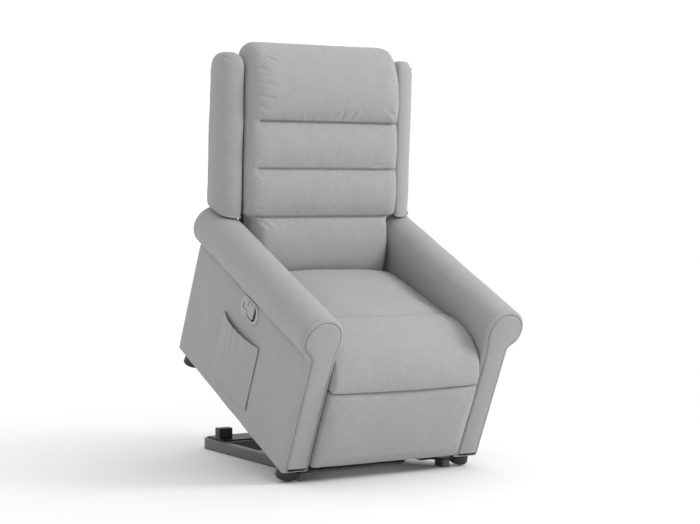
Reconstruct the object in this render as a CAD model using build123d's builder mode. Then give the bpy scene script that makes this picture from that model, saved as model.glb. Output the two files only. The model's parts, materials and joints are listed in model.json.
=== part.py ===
from build123d import *
import os
from math import cos, sin, radians, sqrt, atan2, degrees

# Stand-up recliner armchair, raised and tipped forward on its base frame.
# +X is to the right of a person who faces the chair, -Y is the front, +Z is up.
# Millimetres and degrees.

os.makedirs("parts", exist_ok=True)

# ---------------------------------------------------------------- driving dimensions
TILT = 25.0                  # forward tip of the raised chair, about X
BODY_Y = -311.08             # place of the chair body's origin in Y
BODY_Z = 34.0                # height of the chair body's origin when raised

# base frame
RAIL_OUT = 207.0             # outer face of a side rail, from the middle
RAIL_W = 25.0
RAIL_H = 35.0
RAIL_WALL = 2.0
RAIL_FRONT = 200.0
BEAM_FRONT = 660.0
BEAM_BACK = 833.0
BEAM_CORNER_R = 62.0
BEAM_WALL = 3.0

# lift hinge, in body coordinates (y, z)
LIFT_PIN_Y = 28.0
LIFT_PIN_Z = 52.0
LIFT_PIN_R = 6.0
LIFT_ARM_IN = 184.0
LIFT_ARM_T = 12.0
LIFT_ARM_H = 34.0
LIFT_ARM_FRONT = 10.0
LIFT_ARM_BACK = 660.0

# arms
ARM_OUT = 347.0
ARM_IN = 258.0
ARM_DEPTH = 761.0
ROLL_X = 317.5
ROLL_Z = 440.0
ROLL_R = 69.0
ARM_EDGE_R = 13.0
ARM_FOOT_R = 14.0
BOARD_IN = 262.0
BOARD_T = 15.0
BOARD_Y0 = 36.0
BOARD_Y1 = 725.0
BOARD_TOP = 400.0

# feet of the chair
FOOT_X = 308.0
FOOT_YS = (41.0, 713.0)
FOOT_H = 40.0
FOOT_R_TOP = 27.0
FOOT_R_BOTTOM = 32.0

# seat
SEAT_HALF = 256.0
SEAT_RAIL_IN = 186.0
SEAT_RAIL_OUT = 250.0
SEAT_RAIL_Y0 = 100.0
SEAT_RAIL_Y1 = 596.0
SEAT_RAIL_Z0 = 205.0
SEAT_RAIL_Z1 = 262.0

# recliner mechanism
PLATE_IN = 250.0
PLATE_T = 4.0
PIN_R = 5.0
PIN_CLEAR = 0.08
RECLINE_Y = 700.0
RECLINE_Z = 280.0
LEG_Y = 60.0
LEG_Z = 240.0
LINK_L = 175.0
LINK_W = 24.0
LINK_T = 4.0
LINK_A_IN = 244.0
LINK_B_IN = 238.5
LEG_BRACKET_IN = 233.0

# back, in its own leaning frame: n is rearward, u is up along the back
LEAN = 22.15
BACK_Y = 541.1
BACK_Z = 302.1
BACK_HALF_TOP = 272.0
BACK_HALF_LOW = 245.0
ARM_CLEAR_Z = 517.0          # lowest height of what passes over the arms
CREASES = (239.7, 390.4, 537.8)
BACK_TOP_U = 772.0
CUSHION_BACK_N = 57.0
FRAME_N0 = 62.0
FRAME_N1 = 104.0
COVER_N0 = 107.0
COVER_N1 = 124.0
COVER_U0 = 70.0
POST_IN = 212.0
POST_OUT = 242.0

# wings
WING_IN = 277.0
WING_OUT = 361.0
WING_N0 = 18.0
WING_N1_TOP = 115.0          # depth of the rear edge, greater at the foot of the wing
WING_N1_LOW = 133.0
WING_LOW_U = 150.0
WING_TOP_U = 742.0

# release handle on the left arm: an oval plate, a cup behind its cut-out, and a T-shaped paddle
BEZEL_Y = 376.0
BEZEL_Z = 340.0
BEZEL_L = 116.0
BEZEL_H = 64.0
BEZEL_R = 29.0
DISH_DEPTH = 17.0
CUP_Y = 360.5
CUP_L = 55.0
CUP_H = 50.0
CUP_R = 18.0
STEM_Y0 = 380.0
STEM_Y1 = 416.0
STEM_Z = 339.0
STEM_SLOT_H = 19.0
PADDLE_Y0 = 349.5
PADDLE_Y1 = 386.0
PADDLE_H = 45.0
HINGE_Y = 409.5
HINGE_IN = 6.0               # depth of the paddle's pin behind the arm's outer face

# side pocket on the left arm, (y, z) corners
POCKET = ((270.0, 267.0), (514.0, 266.0), (510.0, 36.0), (269.0, 51.0))
POCKET_OUT = 15.0
POCKET_WALL = 2.5

# actuator
ACT_REAR_Y = 702.0
ACT_REAR_Z = 62.0
ACT_ROD_Y = 250.0
ACT_ROD_Z = 200.0

C, S = cos(radians(TILT)), sin(radians(TILT))
NET = radians(TILT - LEAN)
CB, SB = cos(NET), sin(NET)


# ---------------------------------------------------------------- planes
def body_point(x, y, z):
    """A point of the tipped chair body."""
    return (x, BODY_Y + y * C - z * S, BODY_Z + y * S + z * C)


def body_yz(x):
    """Side view of the body: local x is rearward, local y is up, extrudes to +X."""
    return Plane(origin=body_point(x, 0, 0), x_dir=(0, C, S), z_dir=(1, 0, 0))


def body_xz(y):
    """Front view of the body: local x is +X, local y is up, extrudes to the front."""
    return Plane(origin=body_point(0, y, 0), x_dir=(1, 0, 0), z_dir=(0, -C, -S))


def body_xy(z):
    """Plan of the body: local x is +X, local y is rearward, extrudes up."""
    return Plane(origin=body_point(0, 0, z), x_dir=(1, 0, 0), z_dir=(0, -S, C))


def base_yz(x):
    return Plane(origin=(x, BODY_Y, 0), x_dir=(0, 1, 0), z_dir=(1, 0, 0))


def base_xz(y):
    return Plane(origin=(0, BODY_Y + y, 0), x_dir=(1, 0, 0), z_dir=(0, -1, 0))


def base_xy(z):
    return Plane(origin=(0, BODY_Y, z), x_dir=(1, 0, 0), z_dir=(0, 0, 1))


def back_point(x, n, u):
    ox, oy, oz = body_point(x, BACK_Y, BACK_Z)
    return (ox, oy + n * CB - u * SB, oz + n * SB + u * CB)


def back_nu(x):
    """Side view of the back: local x is rearward, local y is up along the back."""
    return Plane(origin=back_point(x, 0, 0), x_dir=(0, CB, SB), z_dir=(1, 0, 0))


def back_xu(n):
    """Face view of the back: local y is up along the back, extrudes to the front."""
    return Plane(origin=back_point(0, n, 0), x_dir=(1, 0, 0), z_dir=(0, -CB, -SB))


def back_xn(u):
    """Section across the back: local y is rearward, extrudes up along the back."""
    return Plane(origin=back_point(0, 0, u), x_dir=(1, 0, 0), z_dir=(0, -SB, CB))


LIFT_Y = LIFT_PIN_Y * C - LIFT_PIN_Z * S
LIFT_Z = BODY_Z + LIFT_PIN_Y * S + LIFT_PIN_Z * C

# ---------------------------------------------------------------- base frame
with BuildPart() as base_rail_right:
    with BuildSketch(base_xz(RAIL_FRONT)):
        with Locations((RAIL_OUT - RAIL_W / 2, RAIL_H / 2)):
            RectangleRounded(RAIL_W, RAIL_H, 4)
            RectangleRounded(RAIL_W - 2 * RAIL_WALL, RAIL_H - 2 * RAIL_WALL, 2, mode=Mode.SUBTRACT)
    extrude(amount=-(BEAM_FRONT - RAIL_FRONT))

with BuildPart() as base_rail_left:
    mirror(base_rail_right.part, about=Plane.YZ)

# plugs that close the front ends of the rails
with BuildPart() as base_rail_plugs:
    with BuildSketch(base_xz(RAIL_FRONT)):
        for side in (-1, 1):
            with Locations((side * (RAIL_OUT - RAIL_W / 2), RAIL_H / 2)):
                RectangleRounded(RAIL_W, RAIL_H, 4)
    extrude(amount=3)
    with BuildSketch(base_xz(RAIL_FRONT)):
        for side in (-1, 1):
            with Locations((side * (RAIL_OUT - RAIL_W / 2), RAIL_H / 2)):
                RectangleRounded(RAIL_W - 2 * RAIL_WALL - 0.4, RAIL_H - 2 * RAIL_WALL - 0.4, 2)
    extrude(amount=-14)

# pressed beam across the back, rounded at its rear corners, open below
beam_len = BEAM_BACK - BEAM_FRONT
with BuildPart() as base_rear_beam:
    with BuildSketch(base_xy(0)):
        with Locations((0, (BEAM_FRONT + BEAM_BACK) / 2)):
            Rectangle(2 * RAIL_OUT, beam_len)
    extrude(amount=RAIL_H)
    fillet(base_rear_beam.edges().filter_by(Axis.Z).group_by(Axis.Y)[-1], radius=BEAM_CORNER_R)
    fillet(base_rear_beam.faces().sort_by(Axis.Z)[-1].edges(), radius=3.5)
    with BuildSketch(base_xy(0)):
        with Locations((0, (BEAM_FRONT + BEAM_BACK) / 2)):
            RectangleRounded(2 * RAIL_OUT - 2 * BEAM_WALL, beam_len - 2 * BEAM_WALL, BEAM_CORNER_R - BEAM_WALL)
    extrude(amount=RAIL_H - BEAM_WALL, mode=Mode.SUBTRACT)
    with BuildSketch(base_xy(0)):
        for side in (-1, 1):
            with Locations((side * 168, BEAM_BACK - 36)):
                Circle(4)
    extrude(amount=RAIL_H, mode=Mode.SUBTRACT)

with BuildPart() as base_front_tube:
    with BuildSketch(base_yz(-(RAIL_OUT - RAIL_W))):
        with Locations((RAIL_FRONT + 20, RAIL_H / 2)):
            RectangleRounded(34, RAIL_H, 4)
            RectangleRounded(34 - 2 * RAIL_WALL, RAIL_H - 2 * RAIL_WALL, 2, mode=Mode.SUBTRACT)
    extrude(amount=2 * (RAIL_OUT - RAIL_W))

# front bracket: foot plate and two raked ears that carry the lift pin
EAR_OUT_IN = LIFT_ARM_IN + LIFT_ARM_T + 2.0
EAR_T = 5.0
EAR_IN_OUT = LIFT_ARM_IN - 2.0
PLATE_Z0 = 24.0
PLATE_Z1 = 32.0
with BuildPart() as base_bracket_right:
    with BuildSketch(base_xy(PLATE_Z0)):
        with BuildLine():
            Polyline((176, 60), (215, 60), (238, 28), (272, 28), (272, 96), (232, 150), (232, 197),
                     (176, 197), close=True)
        make_face()
    extrude(amount=PLATE_Z1 - PLATE_Z0)
    for ear_x in (EAR_OUT_IN, EAR_IN_OUT - EAR_T):
        with BuildSketch(base_yz(ear_x)):
            with BuildLine():
                Polyline((58, PLATE_Z0 + 3), (LIFT_Y - 10.5, LIFT_Z - 5), (LIFT_Y - 2, LIFT_Z + 12),
                         (LIFT_Y + 9, LIFT_Z + 8), (150, PLATE_Z1 + 12), (150, PLATE_Z0 + 3), close=True)
            make_face()
            with Locations((LIFT_Y, LIFT_Z)):
                Circle(12.5)
            with Locations((LIFT_Y, LIFT_Z)):
                Circle(LIFT_PIN_R + 0.05, mode=Mode.SUBTRACT)
        extrude(amount=EAR_T)

with BuildPart() as base_bracket_left:
    mirror(base_bracket_right.part, about=Plane.YZ)

with BuildPart() as lift_pins:
    with BuildSketch(base_yz(EAR_IN_OUT - EAR_T - 1.0)):
        with Locations((LIFT_Y, LIFT_Z)):
            Circle(LIFT_PIN_R)
    extrude(amount=EAR_OUT_IN + EAR_T - (EAR_IN_OUT - EAR_T - 1.0))
    with BuildSketch(base_yz(EAR_OUT_IN + EAR_T)):
        with Locations((LIFT_Y, LIFT_Z)):
            RegularPolygon(10, 6)
    extrude(amount=4.0)
    mirror(about=Plane.YZ)

# bearing pads under the front brackets
with BuildPart() as base_pads:
    with BuildSketch(base_xy(0)):
        for side in (-1, 1):
            with Locations((side * 257, 62)):
                RectangleRounded(26, 50, 5)
    extrude(amount=PLATE_Z0)
    chamfer(base_pads.faces().sort_by(Axis.Z)[0].edges(), length=1.5)

with BuildPart() as rear_plate:
    with BuildSketch(base_xy(RAIL_H)):
        with Locations((0, 736)):
            RectangleRounded(386, 122, 8)
    extrude(amount=5)

with BuildPart() as rest_blocks:
    with BuildSketch(base_xy(RAIL_H + 5)):
        for side in (-1, 1):
            with Locations((side * 170, 716)):
                RectangleRounded(50, 34, 5)
    extrude(amount=36)
    chamfer(rest_blocks.faces().sort_by(Axis.Z)[-2:].edges(), length=2.0)

# clevis that holds the rear of the actuator, with its pin
with BuildPart() as actuator_clevis:
    with BuildSketch(base_yz(-22)):
        with BuildLine():
            Polyline((680, RAIL_H + 5), (ACT_REAR_Y - 11, ACT_REAR_Z + 3), (ACT_REAR_Y + 11, ACT_REAR_Z + 3),
                     (734, RAIL_H + 5), close=True)
        make_face()
        with Locations((ACT_REAR_Y, ACT_REAR_Z)):
            Circle(12)
    extrude(amount=5)
    mirror(about=Plane.YZ)
    with BuildSketch(base_xy(RAIL_H + 5)):
        with Locations((0, 707)):
            Rectangle(44, 54)
    extrude(amount=4)
    with BuildSketch(base_yz(-24)):
        with Locations((ACT_REAR_Y, ACT_REAR_Z)):
            Circle(5)
    extrude(amount=48)

# ---------------------------------------------------------------- lift frame of the chair body
with BuildPart() as lift_arm_right:
    with BuildSketch(body_yz(LIFT_ARM_IN)):
        with Locations(((LIFT_ARM_FRONT + LIFT_ARM_BACK) / 2, LIFT_PIN_Z)):
            SlotOverall(LIFT_ARM_BACK - LIFT_ARM_FRONT, LIFT_ARM_H)
        with Locations((LIFT_PIN_Y, LIFT_PIN_Z)):
            Circle(LIFT_PIN_R + PIN_CLEAR, mode=Mode.SUBTRACT)
    extrude(amount=LIFT_ARM_T)

with BuildPart() as lift_arm_left:
    mirror(lift_arm_right.part, about=Plane.YZ)

# four posts from the lift arms up to the seat rails
with BuildPart() as lift_posts:
    with BuildSketch(body_xy(LIFT_PIN_Z + LIFT_ARM_H / 2)):
        for side in (-1, 1):
            for post_y in (140, 560):
                with Locations((side * (LIFT_ARM_IN + LIFT_ARM_T / 2), post_y)):
                    Rectangle(LIFT_ARM_T, 40)
    extrude(amount=SEAT_RAIL_Z0 - (LIFT_PIN_Z + LIFT_ARM_H / 2))

with BuildPart() as lift_cross_tube:
    with BuildSketch(body_yz(-SEAT_RAIL_IN)):
        with Locations((208, 221)):
            RectangleRounded(26, 30, 4)
            RectangleRounded(22, 26, 2, mode=Mode.SUBTRACT)
    extrude(amount=2 * SEAT_RAIL_IN)

# two cheek plates with slotted holes that take the actuator's rod pin
with BuildPart() as actuator_lever:
    with BuildSketch(body_yz(14)):
        with BuildLine():
            Polyline((221, 236), (221, 196), (236, 180), (264, 182), (266, 212), (236, 236), close=True)
        make_face()
        with Locations((ACT_ROD_Y - 3.4, ACT_ROD_Z - 2.5)):
            SlotCenterToCenter(8.8, 2 * (PIN_R + 1.0), rotation=36, mode=Mode.SUBTRACT)
    extrude(amount=5)
    mirror(about=Plane.YZ)

# ---------------------------------------------------------------- seat frame
BOLTS = ((150.0, 233.0), (560.0, 233.0))
with BuildPart() as seat_rail_right:
    with BuildSketch(body_yz(SEAT_RAIL_IN)):
        with Locations(((SEAT_RAIL_Y0 + SEAT_RAIL_Y1) / 2, (SEAT_RAIL_Z0 + SEAT_RAIL_Z1) / 2)):
            Rectangle(SEAT_RAIL_Y1 - SEAT_RAIL_Y0, SEAT_RAIL_Z1 - SEAT_RAIL_Z0)
        with Locations(*BOLTS):
            Circle(4.2, mode=Mode.SUBTRACT)
    extrude(amount=SEAT_RAIL_OUT - SEAT_RAIL_IN)

with BuildPart() as seat_rail_left:
    mirror(seat_rail_right.part, about=Plane.YZ)

with BuildPart() as seat_front_rail:
    with BuildSketch(body_yz(-228)):
        with Locations((88, 244)):
            Rectangle(24, 36)
    extrude(amount=456)

with BuildPart() as seat_rear_rail:
    with BuildSketch(body_yz(-SEAT_RAIL_IN)):
        with Locations((584, 244)):
            Rectangle(24, 36)
    extrude(amount=2 * SEAT_RAIL_IN)

# zigzag springs between the front and the rear seat rail
SPRING_R = 1.9
SPRING_HALF = 18.0
SPRING_PITCH = 25.0
SPRING_Y0 = 86.0
SPRING_Y1 = 586.0
SPRING_Z = SEAT_RAIL_Z1 + SPRING_R
spring_count = int((SPRING_Y1 - SPRING_Y0) / SPRING_PITCH)
with BuildPart() as seat_springs:
    for spring_x in (-135, -45, 45, 135):
        with BuildLine(body_xy(SPRING_Z)) as spring_line:
            side = 1
            y = SPRING_Y0
            Line((spring_x - side * SPRING_HALF, y), (spring_x + side * SPRING_HALF, y))
            for i in range(spring_count):
                ThreePointArc((spring_x + side * SPRING_HALF, y),
                              (spring_x + side * (SPRING_HALF + SPRING_PITCH / 2), y + SPRING_PITCH / 2),
                              (spring_x + side * SPRING_HALF, y + SPRING_PITCH))
                y += SPRING_PITCH
                side = -side
                Line((spring_x - side * SPRING_HALF, y), (spring_x + side * SPRING_HALF, y))
        with BuildSketch(Plane(origin=spring_line.line @ 0, z_dir=spring_line.line % 0)):
            Circle(SPRING_R)
        sweep(path=spring_line.line)

with BuildPart() as seat_cushion:
    with BuildSketch(body_yz(-SEAT_HALF)):
        with BuildLine():
            Spline((-18, 292), (-21, 322), (-6, 356), (39, 388), (125, 405), (249, 400), (387, 391),
                   (500, 381), (543, 374))
            Line((543, 374), (551, 364))
            Line((551, 364), (551, 316))
            Line((551, 316), (590, 296))
            Line((590, 296), (590, 270))
            Line((590, 270), (4, 270))
            Line((4, 270), (-10, 275))
            Line((-10, 275), (-18, 292))
        make_face()
    extrude(amount=2 * SEAT_HALF)

# ---------------------------------------------------------------- mechanism side plates and pins
with BuildPart() as mechanism_plate_right:
    with BuildSketch(body_yz(PLATE_IN)):
        with BuildLine():
            Polyline((44, 200), (600, 200), (730, 250), (730, 296), (716, 310), (684, 310), (640, 275),
                     (600, 264), (44, 264), close=True)
        make_face()
        with Locations((LEG_Y, LEG_Z), (RECLINE_Y, RECLINE_Z)):
            Circle(PIN_R + PIN_CLEAR, mode=Mode.SUBTRACT)
        with Locations(*BOLTS):
            Circle(4.2, mode=Mode.SUBTRACT)
    extrude(amount=PLATE_T)

with BuildPart() as mechanism_plate_left:
    mirror(mechanism_plate_right.part, about=Plane.YZ)

with BuildPart() as mechanism_pins:
    for pin_y, pin_z, pin_in in ((LEG_Y, LEG_Z, LINK_A_IN - 0.4), (RECLINE_Y, RECLINE_Z, POST_OUT + 0.4)):
        with BuildSketch(body_yz(pin_in)):
            with Locations((pin_y, pin_z)):
                Circle(PIN_R)
        extrude(amount=PLATE_IN + PLATE_T - pin_in)
        with BuildSketch(body_yz(PLATE_IN + PLATE_T)):
            with Locations((pin_y, pin_z)):
                Circle(9)
        extrude(amount=2.5)
    mirror(about=Plane.YZ)

# ---------------------------------------------------------------- arms
with BuildPart() as arm_board_right:
    with BuildSketch(body_yz(BOARD_IN)):
        with Locations(((BOARD_Y0 + BOARD_Y1) / 2, BOARD_TOP / 2)):
            Rectangle(BOARD_Y1 - BOARD_Y0, BOARD_TOP)
        with Locations(*BOLTS):
            Circle(4.2, mode=Mode.SUBTRACT)
    extrude(amount=BOARD_T)

with BuildPart() as arm_board_left:
    mirror(arm_board_right.part, about=Plane.YZ)

# upholstered arm: a straight panel with a rolled top
with BuildPart() as arm_cover_right:
    with BuildSketch(body_xz(0)) as arm_profile:
        with Locations(((ARM_IN + ARM_OUT) / 2, ROLL_Z / 2)):
            Rectangle(ARM_OUT - ARM_IN, ROLL_Z)
        with Locations((ROLL_X, ROLL_Z)):
            Circle(ROLL_R)
        fillet(arm_profile.vertices().group_by(Axis.Z)[0], radius=ARM_FOOT_R)
    extrude(amount=-ARM_DEPTH)
    fillet(arm_cover_right.faces().filter_by(GeomType.PLANE).sort_by(Axis((0, 0, 0), (0, C, S)))[0].edges(),
           radius=ARM_EDGE_R)
    fillet(arm_cover_right.faces().filter_by(GeomType.PLANE).sort_by(Axis((0, 0, 0), (0, C, S)))[-1].edges(),
           radius=ARM_EDGE_R)
    with BuildSketch(body_yz(BOARD_IN - 0.3)):
        with Locations(((BOARD_Y0 + BOARD_Y1) / 2, (BOARD_TOP - 10) / 2)):
            Rectangle(BOARD_Y1 - BOARD_Y0 + 0.6, BOARD_TOP + 10.6)
    extrude(amount=BOARD_T + 0.6, mode=Mode.SUBTRACT)
    with BuildSketch(body_yz(ARM_IN - 12)):
        with Locations(*BOLTS):
            Circle(4.2)
    extrude(amount=20, mode=Mode.SUBTRACT)

with BuildPart() as arm_cover_left:
    mirror(arm_cover_right.part, about=Plane.YZ)
    with BuildSketch(body_yz(-ARM_OUT - 5)):
        with Locations((CUP_Y, BEZEL_Z)):
            RectangleRounded(CUP_L + 6, CUP_H + 6, CUP_R + 3)
        with Locations((CUP_Y + CUP_L / 4, BEZEL_Z)):
            RectangleRounded(CUP_L / 2 + 6, CUP_H + 6, 7)
        with Locations(((STEM_Y0 + STEM_Y1 + 6) / 2, STEM_Z)):
            Rectangle(STEM_Y1 + 6 - STEM_Y0, STEM_SLOT_H + 14)
    extrude(amount=5 + DISH_DEPTH + 3.0, mode=Mode.SUBTRACT)
    # flat for the plate, just under the roll
    with BuildSketch(body_yz(-ARM_OUT - 8)):
        with Locations((BEZEL_Y, BEZEL_Z)):
            RectangleRounded(BEZEL_L + 2, BEZEL_H + 2, BEZEL_R + 1)
    extrude(amount=8, mode=Mode.SUBTRACT)

with BuildPart() as arm_bolts:
    for bolt_y, bolt_z in BOLTS:
        with BuildSketch(body_yz(SEAT_RAIL_IN)):
            with Locations((bolt_y, bolt_z)):
                Circle(4)
        extrude(amount=BOARD_IN + BOARD_T - SEAT_RAIL_IN)
        with BuildSketch(body_yz(SEAT_RAIL_IN)):
            with Locations((bolt_y, bolt_z)):
                RegularPolygon(7.5, 6)
        extrude(amount=-5)
    mirror(about=Plane.YZ)

# glides: turned plastic feet, wider at the floor, with a rounded rim
with BuildPart() as chair_feet:
    for side in (-1, 1):
        for foot_y in FOOT_YS:
            with BuildSketch(body_yz(side * FOOT_X)):
                with BuildLine():
                    Line((foot_y, 0), (foot_y + FOOT_R_TOP, 0))
                    Line((foot_y + FOOT_R_TOP, 0), (foot_y + FOOT_R_BOTTOM, -FOOT_H + 7))
                    ThreePointArc((foot_y + FOOT_R_BOTTOM, -FOOT_H + 7),
                                  (foot_y + FOOT_R_BOTTOM - 2, -FOOT_H + 2), (foot_y + FOOT_R_BOTTOM - 7, -FOOT_H))
                    Line((foot_y + FOOT_R_BOTTOM - 7, -FOOT_H), (foot_y, -FOOT_H))
                    Line((foot_y, -FOOT_H), (foot_y, 0))
                make_face()
            revolve(axis=Axis(body_point(side * FOOT_X, foot_y, 0), (0, -S, C)))

# upholstered board that closes the body low at the back, between the arms
with BuildPart() as rear_panel:
    with BuildSketch(body_xz(744)):
        with Locations((0, 173)):
            Rectangle(2 * SEAT_HALF, 254)
    extrude(amount=-12)
    fillet(rear_panel.edges().filter_by(Axis.X), radius=4)

# ---------------------------------------------------------------- release handle
def handle_mouth():
    """Cut-out of the plate: the cup's mouth and the slot of the paddle's stem."""
    with Locations((CUP_Y, BEZEL_Z)):
        RectangleRounded(CUP_L, CUP_H, CUP_R)
    with Locations((CUP_Y + CUP_L / 4, BEZEL_Z)):
        RectangleRounded(CUP_L / 2, CUP_H, 4)
    with Locations(((STEM_Y0 + STEM_Y1) / 2, STEM_Z)):
        Rectangle(STEM_Y1 - STEM_Y0, STEM_SLOT_H)


with BuildPart() as handle_bezel:
    with BuildSketch(body_yz(-ARM_OUT - 3.6)):
        with Locations((BEZEL_Y, BEZEL_Z)):
            RectangleRounded(BEZEL_L, BEZEL_H, BEZEL_R)
    extrude(amount=3.4)
    fillet(handle_bezel.faces().sort_by(Axis.X)[0].edges(), radius=1.6)
    with BuildSketch(body_yz(-ARM_OUT - 4)):
        handle_mouth()
    extrude(amount=6, mode=Mode.SUBTRACT)

# black cup behind the plate, with the walls of the stem's slot
with BuildPart() as handle_cup:
    with BuildSketch(body_yz(-ARM_OUT - 0.1)):
        with Locations((CUP_Y, BEZEL_Z)):
            RectangleRounded(CUP_L + 4, CUP_H + 4, CUP_R + 2)
        with Locations((CUP_Y + CUP_L / 4, BEZEL_Z)):
            RectangleRounded(CUP_L / 2 + 4, CUP_H + 4, 6)
        with Locations(((STEM_Y0 + STEM_Y1 + 2) / 2, STEM_Z)):
            Rectangle(STEM_Y1 + 2 - STEM_Y0, STEM_SLOT_H + 4)
    extrude(amount=DISH_DEPTH + 2.1)
    with BuildSketch(body_yz(-ARM_OUT - 1)):
        handle_mouth()
    extrude(amount=1 + DISH_DEPTH, mode=Mode.SUBTRACT)
    # bosses on the slot's walls carry the paddle's pin
    for boss_z in (STEM_Z - STEM_SLOT_H / 2 - 5, STEM_Z + STEM_SLOT_H / 2):
        with BuildSketch(body_xy(boss_z)):
            with Locations((-ARM_OUT + HINGE_IN + 0.5, HINGE_Y)):
                Rectangle(12, 12)
        extrude(amount=5)
    with BuildSketch(body_xy(STEM_Z - STEM_SLOT_H / 2 - 4.2)):
        with Locations((-ARM_OUT + HINGE_IN, HINGE_Y)):
            Circle(2.0 + PIN_CLEAR)
    extrude(amount=STEM_SLOT_H + 8.4, mode=Mode.SUBTRACT)

# paddle that the fingers pull outward; it turns on a pin at the rear end of its stem
with BuildPart() as release_paddle:
    with BuildSketch(body_yz(-ARM_OUT - 2.6)):
        with Locations(((PADDLE_Y0 + PADDLE_Y1) / 2, BEZEL_Z)):
            RectangleRounded(PADDLE_Y1 - PADDLE_Y0, PADDLE_H, 6)
        with Locations(((PADDLE_Y1 - 8 + HINGE_Y + 3) / 2, STEM_Z)):
            Rectangle(HINGE_Y + 3 - PADDLE_Y1 + 8, STEM_SLOT_H - 3)
    extrude(amount=5.2)
    fillet(release_paddle.faces().sort_by(Axis.X)[0].edges(), radius=1.2)
    with BuildSketch(body_xy(STEM_Z - STEM_SLOT_H / 2 + 1.5)):
        with Locations((-ARM_OUT + HINGE_IN, HINGE_Y)):
            Circle(4.6)
    extrude(amount=STEM_SLOT_H - 3)
    with BuildSketch(body_xy(STEM_Z - STEM_SLOT_H / 2 - 3.6)):
        with Locations((-ARM_OUT + HINGE_IN, HINGE_Y)):
            Circle(2.0)
    extrude(amount=STEM_SLOT_H + 7.2)

# ---------------------------------------------------------------- side pocket
def inset(points, d):
    """The pocket's corners moved inward by d at the sides and the foot, left at the mouth."""
    (y0, z0), (y1, z1), (y2, z2), (y3, z3) = points
    return ((y0 + d, z0 + 5), (y1 - d, z1 + 5), (y2 - d, z2 + d), (y3 + d, z3 + d))


with BuildPart() as side_pocket:
    with BuildSketch(body_yz(-ARM_OUT - POCKET_OUT)):
        with BuildLine():
            Polyline(*POCKET, close=True)
        make_face()
    extrude(amount=POCKET_OUT)
    with BuildSketch(body_yz(-ARM_OUT - POCKET_OUT + POCKET_WALL)):
        with BuildLine():
            Polyline(*inset(POCKET, POCKET_WALL), close=True)
        make_face()
    extrude(amount=POCKET_OUT - POCKET_WALL, mode=Mode.SUBTRACT)

# ---------------------------------------------------------------- control box, under the seat
with BuildPart() as control_box:
    with BuildSketch(body_xy(206)):
        with Locations((SEAT_RAIL_IN - 31, 455)):
            RectangleRounded(62, 118, 5)
    extrude(amount=40)
    with BuildSketch(body_xz(514)):
        with Locations((SEAT_RAIL_IN - 44, 226), (SEAT_RAIL_IN - 18, 226)):
            RectangleRounded(15, 11, 2)
    extrude(amount=9, mode=Mode.SUBTRACT)

# ---------------------------------------------------------------- backrest
with BuildPart() as back_post_right:
    with BuildSketch(back_xu(FRAME_N1)):
        with Locations(((POST_IN + POST_OUT) / 2, 362)):
            Rectangle(POST_OUT - POST_IN, 736)
    extrude(amount=FRAME_N1 - FRAME_N0)

with BuildPart() as back_post_left:
    mirror(back_post_right.part, about=Plane.YZ)

with BuildPart() as back_rails:
    with BuildSketch(back_xu(FRAME_N1 - 6)):
        with Locations((0, 70), (0, 400), (0, 712)):
            Rectangle(2 * POST_IN, 36)
    extrude(amount=FRAME_N1 - FRAME_N0 - 12)

with BuildPart() as back_springs:
    for spring_x in (-130, 0, 130):
        with BuildLine(back_xu(FRAME_N0 + 4)) as back_line:
            side = 1
            y = 76.0
            Line((spring_x - side * 20, y), (spring_x + side * 20, y))
            for i in range(20):
                ThreePointArc((spring_x + side * 20, y), (spring_x + side * 36, y + 16), (spring_x + side * 20, y + 32))
                y += 32
                side = -side
                Line((spring_x - side * 20, y), (spring_x + side * 20, y))
        with BuildSketch(Plane(origin=back_line.line @ 0, z_dir=back_line.line % 0)):
            Circle(1.7)
        sweep(path=back_line.line)

# brackets that hang the back on the recline pins
REC_N = (RECLINE_Y - BACK_Y) * cos(radians(LEAN)) - (RECLINE_Z - BACK_Z) * sin(radians(LEAN))
REC_U = (RECLINE_Y - BACK_Y) * sin(radians(LEAN)) + (RECLINE_Z - BACK_Z) * cos(radians(LEAN))
with BuildPart() as back_brackets:
    with BuildSketch(back_nu(POST_OUT)):
        with BuildLine():
            Polyline((FRAME_N0 + 2, REC_U - 15), (REC_N, REC_U - 15), (REC_N, REC_U + 15), (FRAME_N1 - 2, REC_U + 24),
                     (FRAME_N1 - 2, 190), (FRAME_N0 + 2, 190), close=True)
        make_face()
        with Locations((REC_N, REC_U)):
            Circle(15)
        with Locations((REC_N, REC_U)):
            Circle(PIN_R + PIN_CLEAR, mode=Mode.SUBTRACT)
    extrude(amount=4)
    mirror(about=Plane.YZ)

with BuildPart() as back_cushion:
    with BuildSketch(back_nu(-BACK_HALF_TOP)):
        with BuildLine():
            c3, c2, c1 = CREASES
            ThreePointArc((16, 34), (-27, 128), (0, c3))
            ThreePointArc((0, c3), (-22, (c3 + c2) / 2), (-4, c2))
            ThreePointArc((-4, c2), (-24, (c2 + c1) / 2), (0, c1))
            Spline((0, c1), (-30, c1 + 40), (-38, c1 + 100), (-22, c1 + 168), (22, BACK_TOP_U - 22),
                   (60, BACK_TOP_U + 4), (92, BACK_TOP_U + 6), (COVER_N0 - 2, BACK_TOP_U - 12))
            Line((COVER_N0 - 2, BACK_TOP_U - 12), (COVER_N0 - 2, BACK_TOP_U - 28))
            Line((COVER_N0 - 2, BACK_TOP_U - 28), (CUSHION_BACK_N, BACK_TOP_U - 28))
            Line((CUSHION_BACK_N, BACK_TOP_U - 28), (CUSHION_BACK_N, 34))
            Line((CUSHION_BACK_N, 34), (16, 34))
        make_face()
    extrude(amount=2 * BACK_HALF_TOP)
    with BuildSketch(body_xy(0)):
        for side in (-1, 1):
            with Locations((side * (BACK_HALF_LOW + 60), 700)):
                Rectangle(120, 700)
    extrude(amount=ARM_CLEAR_Z, mode=Mode.SUBTRACT)

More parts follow.
